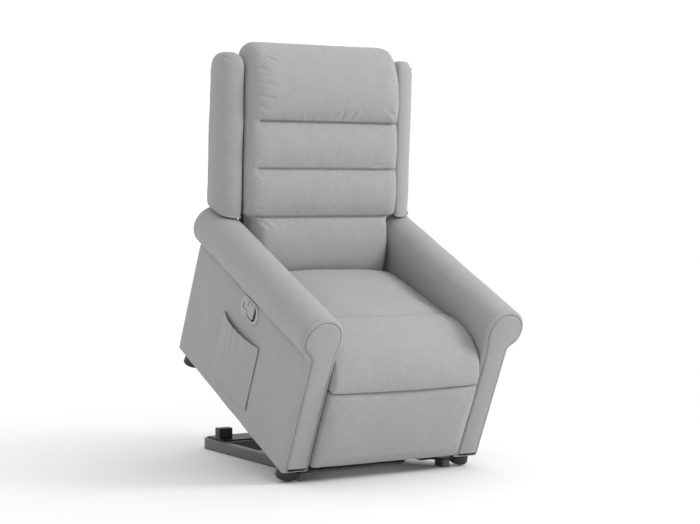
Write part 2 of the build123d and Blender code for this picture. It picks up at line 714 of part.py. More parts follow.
with BuildPart() as back_cover:
    with BuildSketch(back_xu(COVER_N1)):
        with Locations((0, (COVER_U0 + 752) / 2)):
            RectangleRounded(2 * BACK_HALF_TOP, 752 - COVER_U0, 20)
    extrude(amount=COVER_N1 - COVER_N0)
    fillet(back_cover.faces().filter_by(GeomType.PLANE).sort_by(Axis((0, 0, 0), (0, CB, SB)))[-1].edges(), radius=8)
    with BuildSketch(body_xy(0)):
        for side in (-1, 1):
            with Locations((side * (BACK_HALF_LOW + 60), 700)):
                Rectangle(120, 700)
    extrude(amount=ARM_CLEAR_Z, mode=Mode.SUBTRACT)

# ---------------------------------------------------------------- wings
WB_N0, WB_N1 = 88.0, 100.0
WB_U0, WB_U1 = 292.0, 700.0
WB_X0, WB_X1 = POST_OUT, 350.0
with BuildPart() as wing_board_right:
    with BuildSketch(back_xu(WB_N1)):
        with Locations(((WB_X0 + WB_X1) / 2, (WB_U0 + WB_U1) / 2)):
            Rectangle(WB_X1 - WB_X0, WB_U1 - WB_U0)
    extrude(amount=WB_N1 - WB_N0)

with BuildPart() as wing_board_left:
    mirror(wing_board_right.part, about=Plane.YZ)

with BuildPart() as wing_right:
    for section_u, n1 in ((WING_LOW_U, WING_N1_LOW), (WING_TOP_U, WING_N1_TOP)):
        with BuildSketch(back_xn(section_u)):
            with Locations(((WING_IN + WING_OUT) / 2, (WING_N0 + n1) / 2)):
                RectangleRounded(WING_OUT - WING_IN, n1 - WING_N0, 34)
    loft()
    fillet(wing_right.faces().filter_by(GeomType.PLANE).sort_by(Axis((0, 0, 0), (0, -SB, CB)))[-1].edges(), radius=30)
    with BuildSketch(body_xy(0)):
        with Locations(((WING_IN + WING_OUT) / 2, 700)):
            Rectangle(160, 700)
    extrude(amount=ARM_CLEAR_Z, mode=Mode.SUBTRACT)
    with BuildSketch(back_xu(WB_N1 + 0.3)):
        with Locations(((WING_IN - 6 + WB_X1 + 0.3) / 2, (WB_U0 + WB_U1) / 2)):
            Rectangle(WB_X1 + 0.3 - (WING_IN - 6), WB_U1 - WB_U0 + 0.6)
    extrude(amount=WB_N1 - WB_N0 + 0.6, mode=Mode.SUBTRACT)

with BuildPart() as wing_left:
    mirror(wing_right.part, about=Plane.YZ)

# ---------------------------------------------------------------- footrest linkage
KNEE_Z = LEG_Z - LINK_L
TORQUE_Y, TORQUE_Z = 92.0, 120.0
with BuildPart() as footrest_rear_links:
    with BuildSketch(body_yz(LINK_A_IN)):
        with Locations((LEG_Y, (LEG_Z + KNEE_Z) / 2)):
            SlotOverall(LINK_L + LINK_W, LINK_W, rotation=90)
        with BuildLine():
            Polyline((LEG_Y, 150), (LEG_Y + 12, 150), (TORQUE_Y + 8, TORQUE_Z + 10), (TORQUE_Y + 12, TORQUE_Z),
                     (TORQUE_Y + 8, TORQUE_Z - 10), (LEG_Y + 12, 92), (LEG_Y, 92), close=True)
        make_face()
        with Locations((LEG_Y, LEG_Z)):
            Circle(PIN_R + PIN_CLEAR, mode=Mode.SUBTRACT)
    extrude(amount=LINK_T)
    # riveted knee pins
    with BuildSketch(body_yz(LINK_B_IN - 1.0)):
        with Locations((LEG_Y, KNEE_Z)):
            Circle(PIN_R)
    extrude(amount=LINK_A_IN - LINK_B_IN + 1.0 + LINK_T)
    mirror(about=Plane.YZ)

with BuildPart() as footrest_torque_tube:
    with BuildSketch(body_yz(-LINK_A_IN)):
        with Locations((TORQUE_Y, TORQUE_Z)):
            Circle(9.5)
            Circle(7.5, mode=Mode.SUBTRACT)
    extrude(amount=2 * LINK_A_IN)

with BuildPart() as footrest_front_links:
    with BuildSketch(body_yz(LINK_B_IN)):
        with Locations((LEG_Y, (LEG_Z + KNEE_Z) / 2)):
            SlotOverall(LINK_L + LINK_W, LINK_W, rotation=90)
        with Locations((LEG_Y, KNEE_Z)):
            Circle(PIN_R + PIN_CLEAR, mode=Mode.SUBTRACT)
    extrude(amount=LINK_T)
    # riveted pins that carry the footrest brackets
    with BuildSketch(body_yz(LEG_BRACKET_IN - 1.0)):
        with Locations((LEG_Y, LEG_Z)):
            Circle(PIN_R)
    extrude(amount=LINK_B_IN - LEG_BRACKET_IN + 1.0 + LINK_T)
    mirror(about=Plane.YZ)

# ---------------------------------------------------------------- footrest
FOOT_BOARD_Y0, FOOT_BOARD_Y1 = -3.0, 6.0
with BuildPart() as footrest_brackets:
    with BuildSketch(body_yz(LEG_BRACKET_IN)):
        with BuildLine():
            Polyline((FOOT_BOARD_Y1, 252), (LEG_Y, 252), (LEG_Y + 10, 240), (LEG_Y, 228), (28, 222), (20, 206), (20, 110),
                     (FOOT_BOARD_Y1, 100), close=True)
        make_face()
        with Locations((LEG_Y, LEG_Z)):
            Circle(12)
        with Locations((LEG_Y, LEG_Z)):
            Circle(PIN_R + PIN_CLEAR, mode=Mode.SUBTRACT)
    extrude(amount=LINK_T)
    mirror(about=Plane.YZ)

with BuildPart() as footrest_board:
    with BuildSketch(body_xz(FOOT_BOARD_Y1)):
        with Locations((0, 142)):
            Rectangle(492, 216)
    extrude(amount=FOOT_BOARD_Y1 - FOOT_BOARD_Y0)

with BuildPart() as footrest_pad:
    with BuildSketch(body_xz(FOOT_BOARD_Y0)):
        with Locations((0, 137)):
            RectangleRounded(506, 250, 14)
    extrude(amount=24)
    fillet(footrest_pad.faces().filter_by(GeomType.PLANE).sort_by(Axis((0, 0, 0), (0, -C, -S)))[-1].edges(),
           radius=10)

# ---------------------------------------------------------------- actuator
rear = (0, BODY_Y + ACT_REAR_Y, ACT_REAR_Z)
front = body_point(0, ACT_ROD_Y, ACT_ROD_Z)
act_len = sqrt((front[1] - rear[1]) ** 2 + (front[2] - rear[2]) ** 2)
AY, AZ = (front[1] - rear[1]) / act_len, (front[2] - rear[2]) / act_len


def act_section(d):
    """Section across the actuator, d from its rear pin; local y is up."""
    return Plane(origin=(0, rear[1] + d * AY, rear[2] + d * AZ), x_dir=(1, 0, 0), z_dir=(0, AY, AZ))


def act_side(x):
    """Side view of the actuator: local x is along it, local y is up, extrudes to -X."""
    return Plane(origin=(x, rear[1], rear[2]), x_dir=(0, AY, AZ), z_dir=(-1, 0, 0))


TUBE_END = 395.0
with BuildPart() as motor_housing:
    with BuildSketch(act_side(31)):
        with Locations((76, 8)):
            RectangleRounded(112, 64, 14)
    extrude(amount=62)
    with BuildSketch(act_side(14)):
        with BuildLine():
            Polyline((0, -11), (30, -14), (30, 14), (0, 11), close=True)
        make_face()
        Circle(11)
        Circle(5 + PIN_CLEAR, mode=Mode.SUBTRACT)
    extrude(amount=28)
    # motor lying on top of the gearbox
    with BuildSketch(act_section(60)):
        with Locations((0, 56)):
            Circle(24)
    extrude(amount=150)
    with BuildSketch(act_section(132)):
        Circle(19.6)
    extrude(amount=10, mode=Mode.SUBTRACT)

with BuildPart() as actuator_tube:
    with BuildSketch(act_section(132.0)):
        Circle(19)
    extrude(amount=TUBE_END - 132.0)
    with BuildSketch(act_section(190)):
        Circle(11.5)
    extrude(amount=TUBE_END - 190, mode=Mode.SUBTRACT)

with BuildPart() as actuator_rod:
    with BuildSketch(act_section(act_len - 292)):
        Circle(10)
    extrude(amount=292 - 10)
    with BuildSketch(act_side(12)):
        with Locations((act_len, 0)):
            Circle(13)
    extrude(amount=24)
    with BuildSketch(act_side(20.5)):
        with Locations((act_len, 0)):
            Circle(PIN_R)
    extrude(amount=41)

# ---------------------------------------------------------------- labels and files
nodes = {
    "base_rail_left": base_rail_left, "base_rail_right": base_rail_right, "base_rail_plugs": base_rail_plugs,
    "base_rear_beam": base_rear_beam, "base_front_tube": base_front_tube,
    "base_bracket_left": base_bracket_left, "base_bracket_right": base_bracket_right,
    "lift_pins": lift_pins, "base_pads": base_pads, "rear_plate": rear_plate, "rest_blocks": rest_blocks,
    "actuator_clevis": actuator_clevis,
    "lift_arm_left": lift_arm_left, "lift_arm_right": lift_arm_right, "lift_posts": lift_posts,
    "lift_cross_tube": lift_cross_tube, "actuator_lever": actuator_lever,
    "seat_rail_left": seat_rail_left, "seat_rail_right": seat_rail_right, "seat_front_rail": seat_front_rail,
    "seat_rear_rail": seat_rear_rail, "seat_springs": seat_springs, "seat_cushion": seat_cushion,
    "mechanism_plate_left": mechanism_plate_left, "mechanism_plate_right": mechanism_plate_right,
    "mechanism_pins": mechanism_pins,
    "arm_board_left": arm_board_left, "arm_board_right": arm_board_right,
    "arm_cover_left": arm_cover_left, "arm_cover_right": arm_cover_right, "arm_bolts": arm_bolts,
    "chair_feet": chair_feet, "rear_panel": rear_panel, "handle_bezel": handle_bezel,
    "handle_cup": handle_cup,
    "release_paddle": release_paddle, "side_pocket": side_pocket, "control_box": control_box,
    "back_post_left": back_post_left, "back_post_right": back_post_right, "back_rails": back_rails,
    "back_springs": back_springs, "back_brackets": back_brackets, "back_cushion": back_cushion,
    "back_cover": back_cover, "wing_board_left": wing_board_left, "wing_board_right": wing_board_right,
    "wing_left": wing_left, "wing_right": wing_right,
    "footrest_rear_links": footrest_rear_links, "footrest_torque_tube": footrest_torque_tube,
    "footrest_front_links": footrest_front_links, "footrest_brackets": footrest_brackets,
    "footrest_board": footrest_board, "footrest_pad": footrest_pad,
    "motor_housing": motor_housing, "actuator_tube": actuator_tube, "actuator_rod": actuator_rod,
}
for node_name, builder in nodes.items():
    builder.part.label = node_name
    export_step(builder.part, f"parts/{node_name}.step")
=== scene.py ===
import math
import bpy
import numpy as np
from mathutils import Vector, Matrix
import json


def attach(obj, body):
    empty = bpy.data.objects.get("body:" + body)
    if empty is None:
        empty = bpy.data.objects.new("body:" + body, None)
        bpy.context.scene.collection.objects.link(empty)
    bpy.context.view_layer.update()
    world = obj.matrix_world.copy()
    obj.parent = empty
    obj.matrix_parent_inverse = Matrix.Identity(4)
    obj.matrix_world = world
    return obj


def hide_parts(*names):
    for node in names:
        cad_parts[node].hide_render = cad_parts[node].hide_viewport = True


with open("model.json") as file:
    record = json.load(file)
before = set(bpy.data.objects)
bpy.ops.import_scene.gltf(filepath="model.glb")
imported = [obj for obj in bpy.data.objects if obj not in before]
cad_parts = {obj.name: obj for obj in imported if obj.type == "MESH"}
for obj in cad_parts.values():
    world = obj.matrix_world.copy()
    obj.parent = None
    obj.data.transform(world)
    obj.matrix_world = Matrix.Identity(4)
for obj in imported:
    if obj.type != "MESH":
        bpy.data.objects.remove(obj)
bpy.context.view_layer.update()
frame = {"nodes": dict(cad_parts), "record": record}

# ------------------------------------------------------------------ frames
TILT = math.radians(25.0)
C, S = math.cos(TILT), math.sin(TILT)
BY, BZ = -0.31108, 0.034
LEAN = math.radians(22.15)
CL, SL = math.cos(LEAN), math.sin(LEAN)
BACK_Y, BACK_Z = 0.5411, 0.3021


def to_world(p):
    """Chair body coordinates (x, back, up) to the row frame."""
    p = np.asarray(p, float)
    return np.stack([p[..., 0], BY + p[..., 1] * C - p[..., 2] * S, BZ + p[..., 1] * S + p[..., 2] * C], -1)


def back_to_body(p):
    """Back coordinates (x, n rearward, u along the back) to chair body coordinates."""
    p = np.asarray(p, float)
    return np.stack([p[..., 0], BACK_Y + p[..., 1] * CL + p[..., 2] * SL,
                     BACK_Z - p[..., 1] * SL + p[..., 2] * CL], -1)


# ------------------------------------------------------------------ materials
def srgb(v):
    v = v / 255.0
    return v / 12.92 if v <= 0.04045 else ((v + 0.055) / 1.055) ** 2.4


def node_tree(name):
    m = bpy.data.materials.new(name)
    m.use_nodes = True
    nt = m.node_tree
    b = nt.nodes["Principled BSDF"]
    return m, nt, b


def fabric_material(name, level, warm=0.0, scale=1.0):
    """Matt plain weave: fine threads, heather speckle, slight broad mottling."""
    m, nt, b = node_tree(name)
    N, L = nt.nodes, nt.links
    b.inputs["Roughness"].default_value = 0.92
    b.inputs["Specular IOR Level"].default_value = 0.18
    b.inputs["Sheen Weight"].default_value = 0.22
    b.inputs["Sheen Roughness"].default_value = 0.55
    b.inputs["Sheen Tint"].default_value = (0.9, 0.9, 0.9, 1)
    tc = N.new("ShaderNodeTexCoord")
    speck = N.new("ShaderNodeTexNoise")
    speck.inputs["Scale"].default_value = 420.0 * scale
    speck.inputs["Detail"].default_value = 2.0
    speck.inputs["Roughness"].default_value = 0.6
    weft = N.new("ShaderNodeVectorMath")
    weft.operation = "MULTIPLY"
    weft.inputs[1].default_value = (0.9, 1.3, 2.1)
    L.new(tc.outputs["Object"], weft.inputs[0])
    L.new(weft.outputs["Vector"], speck.inputs["Vector"])
    broad = N.new("ShaderNodeTexNoise")
    broad.inputs["Scale"].default_value = 22.0
    broad.inputs["Detail"].default_value = 3.0
    L.new(tc.outputs["Object"], broad.inputs["Vector"])
    ramp = N.new("ShaderNodeValToRGB")
    e = ramp.color_ramp.elements
    base = srgb(level)
    lo, hi = base * 0.84, base * 1.16
    e[0].position, e[1].position = 0.34, 0.66
    e[0].color = (lo * (1 + warm), lo, lo * (1 - warm), 1)
    e[1].color = (hi * (1 + warm), hi, hi * (1 - warm), 1)
    L.new(speck.outputs["Fac"], ramp.inputs["Fac"])
    mot = N.new("ShaderNodeMapRange")
    mot.inputs["From Min"].default_value, mot.inputs["From Max"].default_value = 0.3, 0.7
    mot.inputs["To Min"].default_value, mot.inputs["To Max"].default_value = 0.982, 1.018
    L.new(broad.outputs["Fac"], mot.inputs["Value"])
    mul = N.new("ShaderNodeMix")
    mul.data_type = "RGBA"
    mul.blend_type = "MULTIPLY"
    mul.inputs["Factor"].default_value = 1.0
    L.new(ramp.outputs["Color"], mul.inputs["A"])
    L.new(mot.outputs["Result"], mul.inputs["B"])
    L.new(mul.outputs["Result"], b.inputs["Base Color"])
    # threads: crossed fine waves
    bumps = []
    for axis in ("X", "Z"):
        w = N.new("ShaderNodeTexWave")
        w.wave_type = "BANDS"
        w.bands_direction = axis
        w.inputs["Scale"].default_value = 150.0 * scale
        w.inputs["Distortion"].default_value = 1.2
        w.inputs["Detail"].default_value = 1.0
        w.inputs["Detail Scale"].default_value = 2.0
        L.new(tc.outputs["Object"], w.inputs["Vector"])
        bumps.append(w)
    add = N.new("ShaderNodeMath")
    add.operation = "ADD"
    L.new(bumps[0].outputs["Fac"], add.inputs[0])
    L.new(bumps[1].outputs["Fac"], add.inputs[1])
    add2 = N.new("ShaderNodeMath")
    add2.operation = "MULTIPLY_ADD"
    L.new(speck.outputs["Fac"], add2.inputs[0])
    add2.inputs[1].default_value = 2.0
    L.new(add.outputs[0], add2.inputs[2])
    bump = N.new("ShaderNodeBump")
    bump.inputs["Strength"].default_value = 0.35
    bump.inputs["Distance"].default_value = 0.0006
    L.new(add2.outputs[0], bump.inputs["Height"])
    L.new(bump.outputs["Normal"], b.inputs["Normal"])
    return m


def plastic_material(name, level, rough, bump_scale=900.0, strength=0.12, spec=0.5):
    m, nt, b = node_tree(name)
    N, L = nt.nodes, nt.links
    v = srgb(level)
    b.inputs["Base Color"].default_value = (v, v, v * 1.02, 1)
    b.inputs["Specular IOR Level"].default_value = spec
    tc = N.new("ShaderNodeTexCoord")
    n = N.new("ShaderNodeTexNoise")
    n.inputs["Scale"].default_value = bump_scale
    n.inputs["Detail"].default_value = 3.0
    L.new(tc.outputs["Object"], n.inputs["Vector"])
    r = N.new("ShaderNodeMapRange")
    r.inputs["To Min"].default_value, r.inputs["To Max"].default_value = rough - 0.06, rough + 0.06
    L.new(n.outputs["Fac"], r.inputs["Value"])
    L.new(r.outputs["Result"], b.inputs["Roughness"])
    bump = N.new("ShaderNodeBump")
    bump.inputs["Strength"].default_value = strength
    bump.inputs["Distance"].default_value = 0.0003
    L.new(n.outputs["Fac"], bump.inputs["Height"])
    L.new(bump.outputs["Normal"], b.inputs["Normal"])
    return m


def metal_material(name, rgb, metallic, rough, grain=(1, 1, 1), scale=260.0, strength=0.05):
    m, nt, b = node_tree(name)
    N, L = nt.nodes, nt.links
    b.inputs["Base Color"].default_value = (*rgb, 1)
    b.inputs["Metallic"].default_value = metallic
    tc = N.new("ShaderNodeTexCoord")
    mp = N.new("ShaderNodeMapping")
    mp.inputs["Scale"].default_value = grain
    L.new(tc.outputs["Object"], mp.inputs["Vector"])
    n = N.new("ShaderNodeTexNoise")
    n.inputs["Scale"].default_value = scale
    n.inputs["Detail"].default_value = 4.0
    L.new(mp.outputs["Vector"], n.inputs["Vector"])
    r = N.new("ShaderNodeMapRange")
    r.inputs["To Min"].default_value, r.inputs["To Max"].default_value = rough - 0.07, rough + 0.07
    L.new(n.outputs["Fac"], r.inputs["Value"])
    L.new(r.outputs["Result"], b.inputs["Roughness"])
    bump = N.new("ShaderNodeBump")
    bump.inputs["Strength"].default_value = strength
    bump.inputs["Distance"].default_value = 0.0004
    L.new(n.outputs["Fac"], bump.inputs["Height"])
    L.new(bump.outputs["Normal"], b.inputs["Normal"])
    return m


def wood_material(name):
    m, nt, b = node_tree(name)
    N, L = nt.nodes, nt.links
    tc = N.new("ShaderNodeTexCoord")
    mp = N.new("ShaderNodeMapping")
    mp.inputs["Scale"].default_value = (3.0, 0.6, 3.0)
    L.new(tc.outputs["Object"], mp.inputs["Vector"])
    w = N.new("ShaderNodeTexNoise")
    w.inputs["Scale"].default_value = 26.0
    w.inputs["Detail"].default_value = 6.0
    w.inputs["Distortion"].default_value = 0.6
    L.new(mp.outputs["Vector"], w.inputs["Vector"])
    ramp = N.new("ShaderNodeValToRGB")
    e = ramp.color_ramp.elements
    e[0].position, e[1].position = 0.35, 0.68
    e[0].color, e[1].color = (0.36, 0.22, 0.11, 1), (0.62, 0.44, 0.25, 1)
    L.new(w.outputs["Fac"], ramp.inputs["Fac"])
    L.new(ramp.outputs["Color"], b.inputs["Base Color"])
    b.inputs["Roughness"].default_value = 0.7
    bump = N.new("ShaderNodeBump")
    bump.inputs["Strength"].default_value = 0.1
    bump.inputs["Distance"].default_value = 0.0006
    L.new(w.outputs["Fac"], bump.inputs["Height"])
    L.new(bump.outputs["Normal"], b.inputs["Normal"])
    return m


FABRIC = fabric_material("light_grey_weave", 161)
GREY_STEEL = metal_material("grey_powder_coat", (0.125, 0.118, 0.108), 0.25, 0.48)
BLACK_STEEL = metal_material("black_powder_coat", (0.018, 0.018, 0.019), 0.2, 0.5)
BRIGHT_STEEL = metal_material("zinc_plate", (0.55, 0.55, 0.54), 0.95, 0.36, grain=(1, 8, 1))
BLACK_PLASTIC = plastic_material("black_plastic", 38, 0.48)
GREY_PLASTIC = plastic_material("grey_plastic", 92, 0.5)
HANDLE_GREY = plastic_material("handle_grey", 165, 0.5, strength=0.06)
WOOD = wood_material("plywood")

LINING = fabric_material("black_lining", 40)

by_slot = {"black_lining": LINING, "upholstery": FABRIC, "plywood": WOOD, "grey_steel": GREY_STEEL, "black_steel": BLACK_STEEL,
           "bright_steel": BRIGHT_STEEL, "black_plastic": BLACK_PLASTIC, "grey_plastic": GREY_PLASTIC,
           "handle_plastic": HANDLE_GREY}
slot_of = {s["node"]: s["material_slot"] for s in frame["record"]["subparts"]}
for node, obj in frame["nodes"].items():
    if obj.type == "MESH":
        mat = by_slot[slot_of[node]]
        if not obj.material_slots:
            obj.data.materials.append(mat)
        for ms in obj.material_slots:
            ms.material = mat


# ------------------------------------------------------------------ mesh helpers
def new_mesh(name, verts, faces, material=FABRIC):
    me = bpy.data.meshes.new(name)
    me.from_pydata([tuple(v) for v in verts], [], [tuple(f) for f in faces])
    me.validate()
    me.update()
    o = bpy.data.objects.new(name, me)
    bpy.context.scene.collection.objects.link(o)
    me.materials.append(material)
    return o


def coords(o):
    a = np.empty(len(o.data.vertices) * 3)
    o.data.vertices.foreach_get("co", a)
    return a.reshape(-1, 3)


def set_coords(o, a):
    o.data.vertices.foreach_set("co", np.ascontiguousarray(a, float).ravel())
    o.data.update()


def normals(o):
    a = np.empty(len(o.data.vertices) * 3)
    o.data.vertex_normals.foreach_get("vector", a)
    return a.reshape(-1, 3)


def apply_modifiers(o):
    bpy.context.view_layer.update()
    dg = bpy.context.evaluated_depsgraph_get()
    me = bpy.data.meshes.new_from_object(o.evaluated_get(dg))
    old = o.data
    mats = [m for m in old.materials]
    o.modifiers.clear()
    o.data = me
    me.materials.clear()
    for m in mats:
        me.materials.append(m)
    bpy.data.meshes.remove(old)


def remesh(o, voxel):
    m = o.modifiers.new("remesh", "REMESH")
    m.mode = "VOXEL"
    m.voxel_size = voxel
    m.use_smooth_shade = True
    apply_modifiers(o)


def subdivide(o, n=1):
    m = o.modifiers.new("sub", "SUBSURF")
    m.levels = m.render_levels = n
    m.subdivision_type = "CATMULL_CLARK"
    apply_modifiers(o)


def smooth_shade(o):
    for p in o.data.polygons:
        p.use_smooth = True


def laplacian(o, rounds, factor=0.5):
    m = o.modifiers.new("sm", "SMOOTH")
    m.factor = factor
    m.iterations = rounds
    apply_modifiers(o)


def neighbour_sum(o):
    e = np.empty(len(o.data.edges) * 2, int)
    o.data.edges.foreach_get("vertices", e)
    return e.reshape(-1, 2)


def smooth_field(o, f, rounds):
    e = neighbour_sum(o)
    n = len(o.data.vertices)
    deg = np.bincount(e.ravel(), minlength=n).astype(float)
    for _ in range(rounds):
        s = np.bincount(e[:, 0], f[e[:, 1]], n) + np.bincount(e[:, 1], f[e[:, 0]], n)
        f = 0.5 * f + 0.5 * s / np.maximum(deg, 1)
    return f


def dist_to_polyline(p, line):
    """Distance from each point to a polyline, and the arc length at the nearest point."""
    line = np.asarray(line, float)
    best = np.full(len(p), 1e9)
    at = np.zeros(len(p))
    acc = 0.0
    for a, b in zip(line[:-1], line[1:]):
        d = b - a
        L2 = float(d @ d)
        if L2 == 0:
            continue
        t = np.clip(((p - a) @ d) / L2, 0, 1)
        q = a + t[:, None] * d
        r = np.linalg.norm(p - q, axis=1)
        k = r < best
        best[k] = r[k]
        at[k] = acc + t[k] * math.sqrt(L2)
        acc += math.sqrt(L2)
    return best, at


def hash_noise(seed):
    """Smooth deterministic noise made of a few sine waves; call it with points (N, 3)."""
    r = np.random.RandomState(seed)
    k = r.normal(size=(14, 3))
    k /= np.linalg.norm(k, axis=1)[:, None]
    f = r.uniform(0.6, 1.6, 14)
    ph = r.uniform(0, 6.28, 14)

    def n(p, scale):
        return np.sin((p @ k.T) * f * (6.283 / scale) + ph).sum(1) / 5.0
    return n


def groove(o, lines, depth=0.0022, width=0.0022, puff=0.0, puff_width=0.012, region=None, lip=0.0):
    """Presses sewn seams into a mesh along polylines, with the cloth drawn in beside them."""
    p = coords(o)
    nrm = normals(o)
    move = np.zeros(len(p))
    for line in lines:
        line = np.asarray(line, float)
        lo, hi = line.min(0) - 3 * puff_width, line.max(0) + 3 * puff_width
        k = np.all((p > lo) & (p < hi), axis=1)
        if region is not None:
            k &= region
        if not k.any():
            continue
        d, s = dist_to_polyline(p[k], line)
        m = -depth * np.exp(-(d / width) ** 2)
        if puff:
            m -= puff * np.exp(-(d / puff_width) ** 2)
        if lip:
            m += lip * np.exp(-((d - 2.6 * width) / (1.3 * width)) ** 2)
        move[k] = np.minimum(move[k], m) if not lip else move[k] + m
    set_coords(o, p + nrm * move[:, None])


def finish_soft(o, body, nodes, to_row=True):
    """Body coordinates to the row frame, then ride and replace."""
    if to_row:
        set_coords(o, to_world(coords(o)))
    smooth_shade(o)
    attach(o, body)
    if nodes:
        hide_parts(*nodes)


def inflate(o, pins, pressure=4.0, frames=20, cap=0.02, shrink=0.0, stiff=15.0, bend=0.5, lock=None, keep_in=None):
    """Cloth under inner pressure with pinned seams; the result is applied, capped and kept."""
    start = coords(o).copy()
    g = o.vertex_groups.new(name="pin")
    idx = np.nonzero(pins > 0)[0]
    for w in np.unique(np.round(pins[idx], 2)):
        g.add([int(i) for i in idx[np.round(pins[idx], 2) == w]], float(w), "REPLACE")
    m = o.modifiers.new("cloth", "CLOTH")
    s = m.settings
    s.quality = 5
    s.mass = 0.25
    s.tension_stiffness = s.compression_stiffness = stiff
    s.shear_stiffness = stiff * 0.4
    s.bending_stiffness = bend
    s.tension_damping = s.compression_damping = 5
    s.shear_damping = 5
    s.bending_damping = 0.5
    s.air_damping = 2.0
    s.use_pressure = True
    s.uniform_pressure_force = pressure
    s.shrink_min = shrink
    s.vertex_group_mass = "pin"
    s.pin_stiffness = 1.0
    s.effector_weights.gravity = 0.0
    m.collision_settings.use_collision = False
    m.collision_settings.use_self_collision = False
    m.point_cache.frame_start, m.point_cache.frame_end = 1, frames + 5
    sc = bpy.context.scene
    for f in range(1, frames + 1):
        sc.frame_set(f)
    apply_modifiers(o)
    sc.frame_set(1)
    end = coords(o)
    d = end - start
    L = np.linalg.norm(d, axis=1)
    k = np.where(L > cap, cap / np.maximum(L, 1e-9), 1.0)
    end = start + d * k[:, None]
    if keep_in is not None:
        end = keep_in(start, end)
    o.vertex_groups.clear()
    set_coords(o, end)


def loft(rings, cap_start=True, cap_end=True, close=True):
    """Closed rings of equal count to a mesh (verts, faces)."""
    n = len(rings[0])
    verts = np.concatenate(rings)
    faces = []
    for i in range(len(rings) - 1):
        a, b = i * n, (i + 1) * n
        for j in range(n if close else n - 1):
            k = (j + 1) % n
            faces.append((a + j, a + k, b + k, b + j))
    if cap_start:
        faces.append(tuple(range(n))[::-1])
    if cap_end:
        faces.append(tuple(range(len(verts) - n, len(verts))))
    return verts, faces


def resample(poly, step, closed=True):
    """A polyline resampled at nearly equal steps; returns points."""
    p = np.asarray(poly, float)
    if closed:
        p = np.vstack([p, p[:1]])
    seg = np.linalg.norm(np.diff(p, axis=0), axis=1)
    s = np.concatenate([[0], np.cumsum(seg)])
    n = max(8, int(round(s[-1] / step)))
    t = np.linspace(0, s[-1], n + 1)
    out = np.stack([np.interp(t, s, p[:, i]) for i in range(p.shape[1])], 1)
    return out[:-1] if closed else out


def offset_in(poly, d):
    """A closed counter-clockwise outline moved inward by d."""
    p = np.asarray(poly, float)
    t = np.roll(p, -1, 0) - np.roll(p, 1, 0)
    t /= np.maximum(np.linalg.norm(t, axis=1), 1e-9)[:, None]
    nrm = np.stack([-t[:, 1], t[:, 0]], 1)
    return p + nrm * d


def corner_arc(cx, cy, r, a0, a1, n=8):
    return [(cx + r * math.cos(math.radians(a)), cy + r * math.sin(math.radians(a))) for a in np.linspace(a0, a1, n)]


# ------------------------------------------------------------------ arms
ROLL_X, ROLL_Z, ROLL_R = 0.3175, 0.440, 0.0685
ARM_OUT, ARM_IN, ARM_D = 0.3465, 0.2585, 0.761


PANEL_X = ARM_OUT + 0.0026
ARM_FOOT = -0.0045


def arm_outline():
    """Front view of the right arm, counter-clockwise seen from the front: (x, z)."""
    pts = []
    r = 0.0075
    pts += corner_arc(ARM_IN + r, ARM_FOOT + r, r, 180, 270)
    pts += corner_arc(PANEL_X - r, ARM_FOOT + r, r, 270, 360)
    pts += [(PANEL_X, z) for z in np.linspace(0.02, 0.366, 20)]
    # from the seam under the roll out to the roll
    a0 = -52.0
    x1, z1 = ROLL_X + ROLL_R * math.cos(math.radians(a0)), ROLL_Z + ROLL_R * math.sin(math.radians(a0))
    pts += [(PANEL_X + 0.0002, 0.3755)]
    pts += [(x, z) for x, z in ((0.3575, 0.3865),)]
    pts += corner_arc(ROLL_X, ROLL_Z, ROLL_R, -40, 176, 44)
    # inner side eases down to the inner face
    for t in np.linspace(0.06, 1, 16):
        z = 0.44 - 0.085 * t
        x = ROLL_X - ROLL_R + (ARM_IN - (ROLL_X - ROLL_R)) * (3 * t ** 2 - 2 * t ** 3)
        pts.append((x, z))
    pts += [(ARM_IN, z) for z in np.linspace(0.34, 0.02, 18)]
    return resample(pts, 0.005)


def smoothstep(t):
    t = np.clip(t, 0, 1)
    return t * t * (3 - 2 * t)


def march(poly, h, dense):
    """A closed outline resampled with spacing h, finer near the given points: dense = [(point, near spacing, reach)]."""
    p = np.asarray(poly, float)
    p = np.vstack([p, p[:1]])
    seg = np.linalg.norm(np.diff(p, axis=0), axis=1)
    s = np.concatenate([[0], np.cumsum(seg)])
    total = s[-1]

    def at(v):
        return np.array([np.interp(v, s, p[:, 0]), np.interp(v, s, p[:, 1])])
    out, v = [], 0.0
    while v < total - 0.3 * h:
        q = at(v)
        out.append(q)
        step = h
        for c, near, reach in dense:
            d = max(0.0, np.linalg.norm(q - np.array(c)) - reach)
            step = min(step, near + 0.45 * d)
        v += step
    return np.array(out)


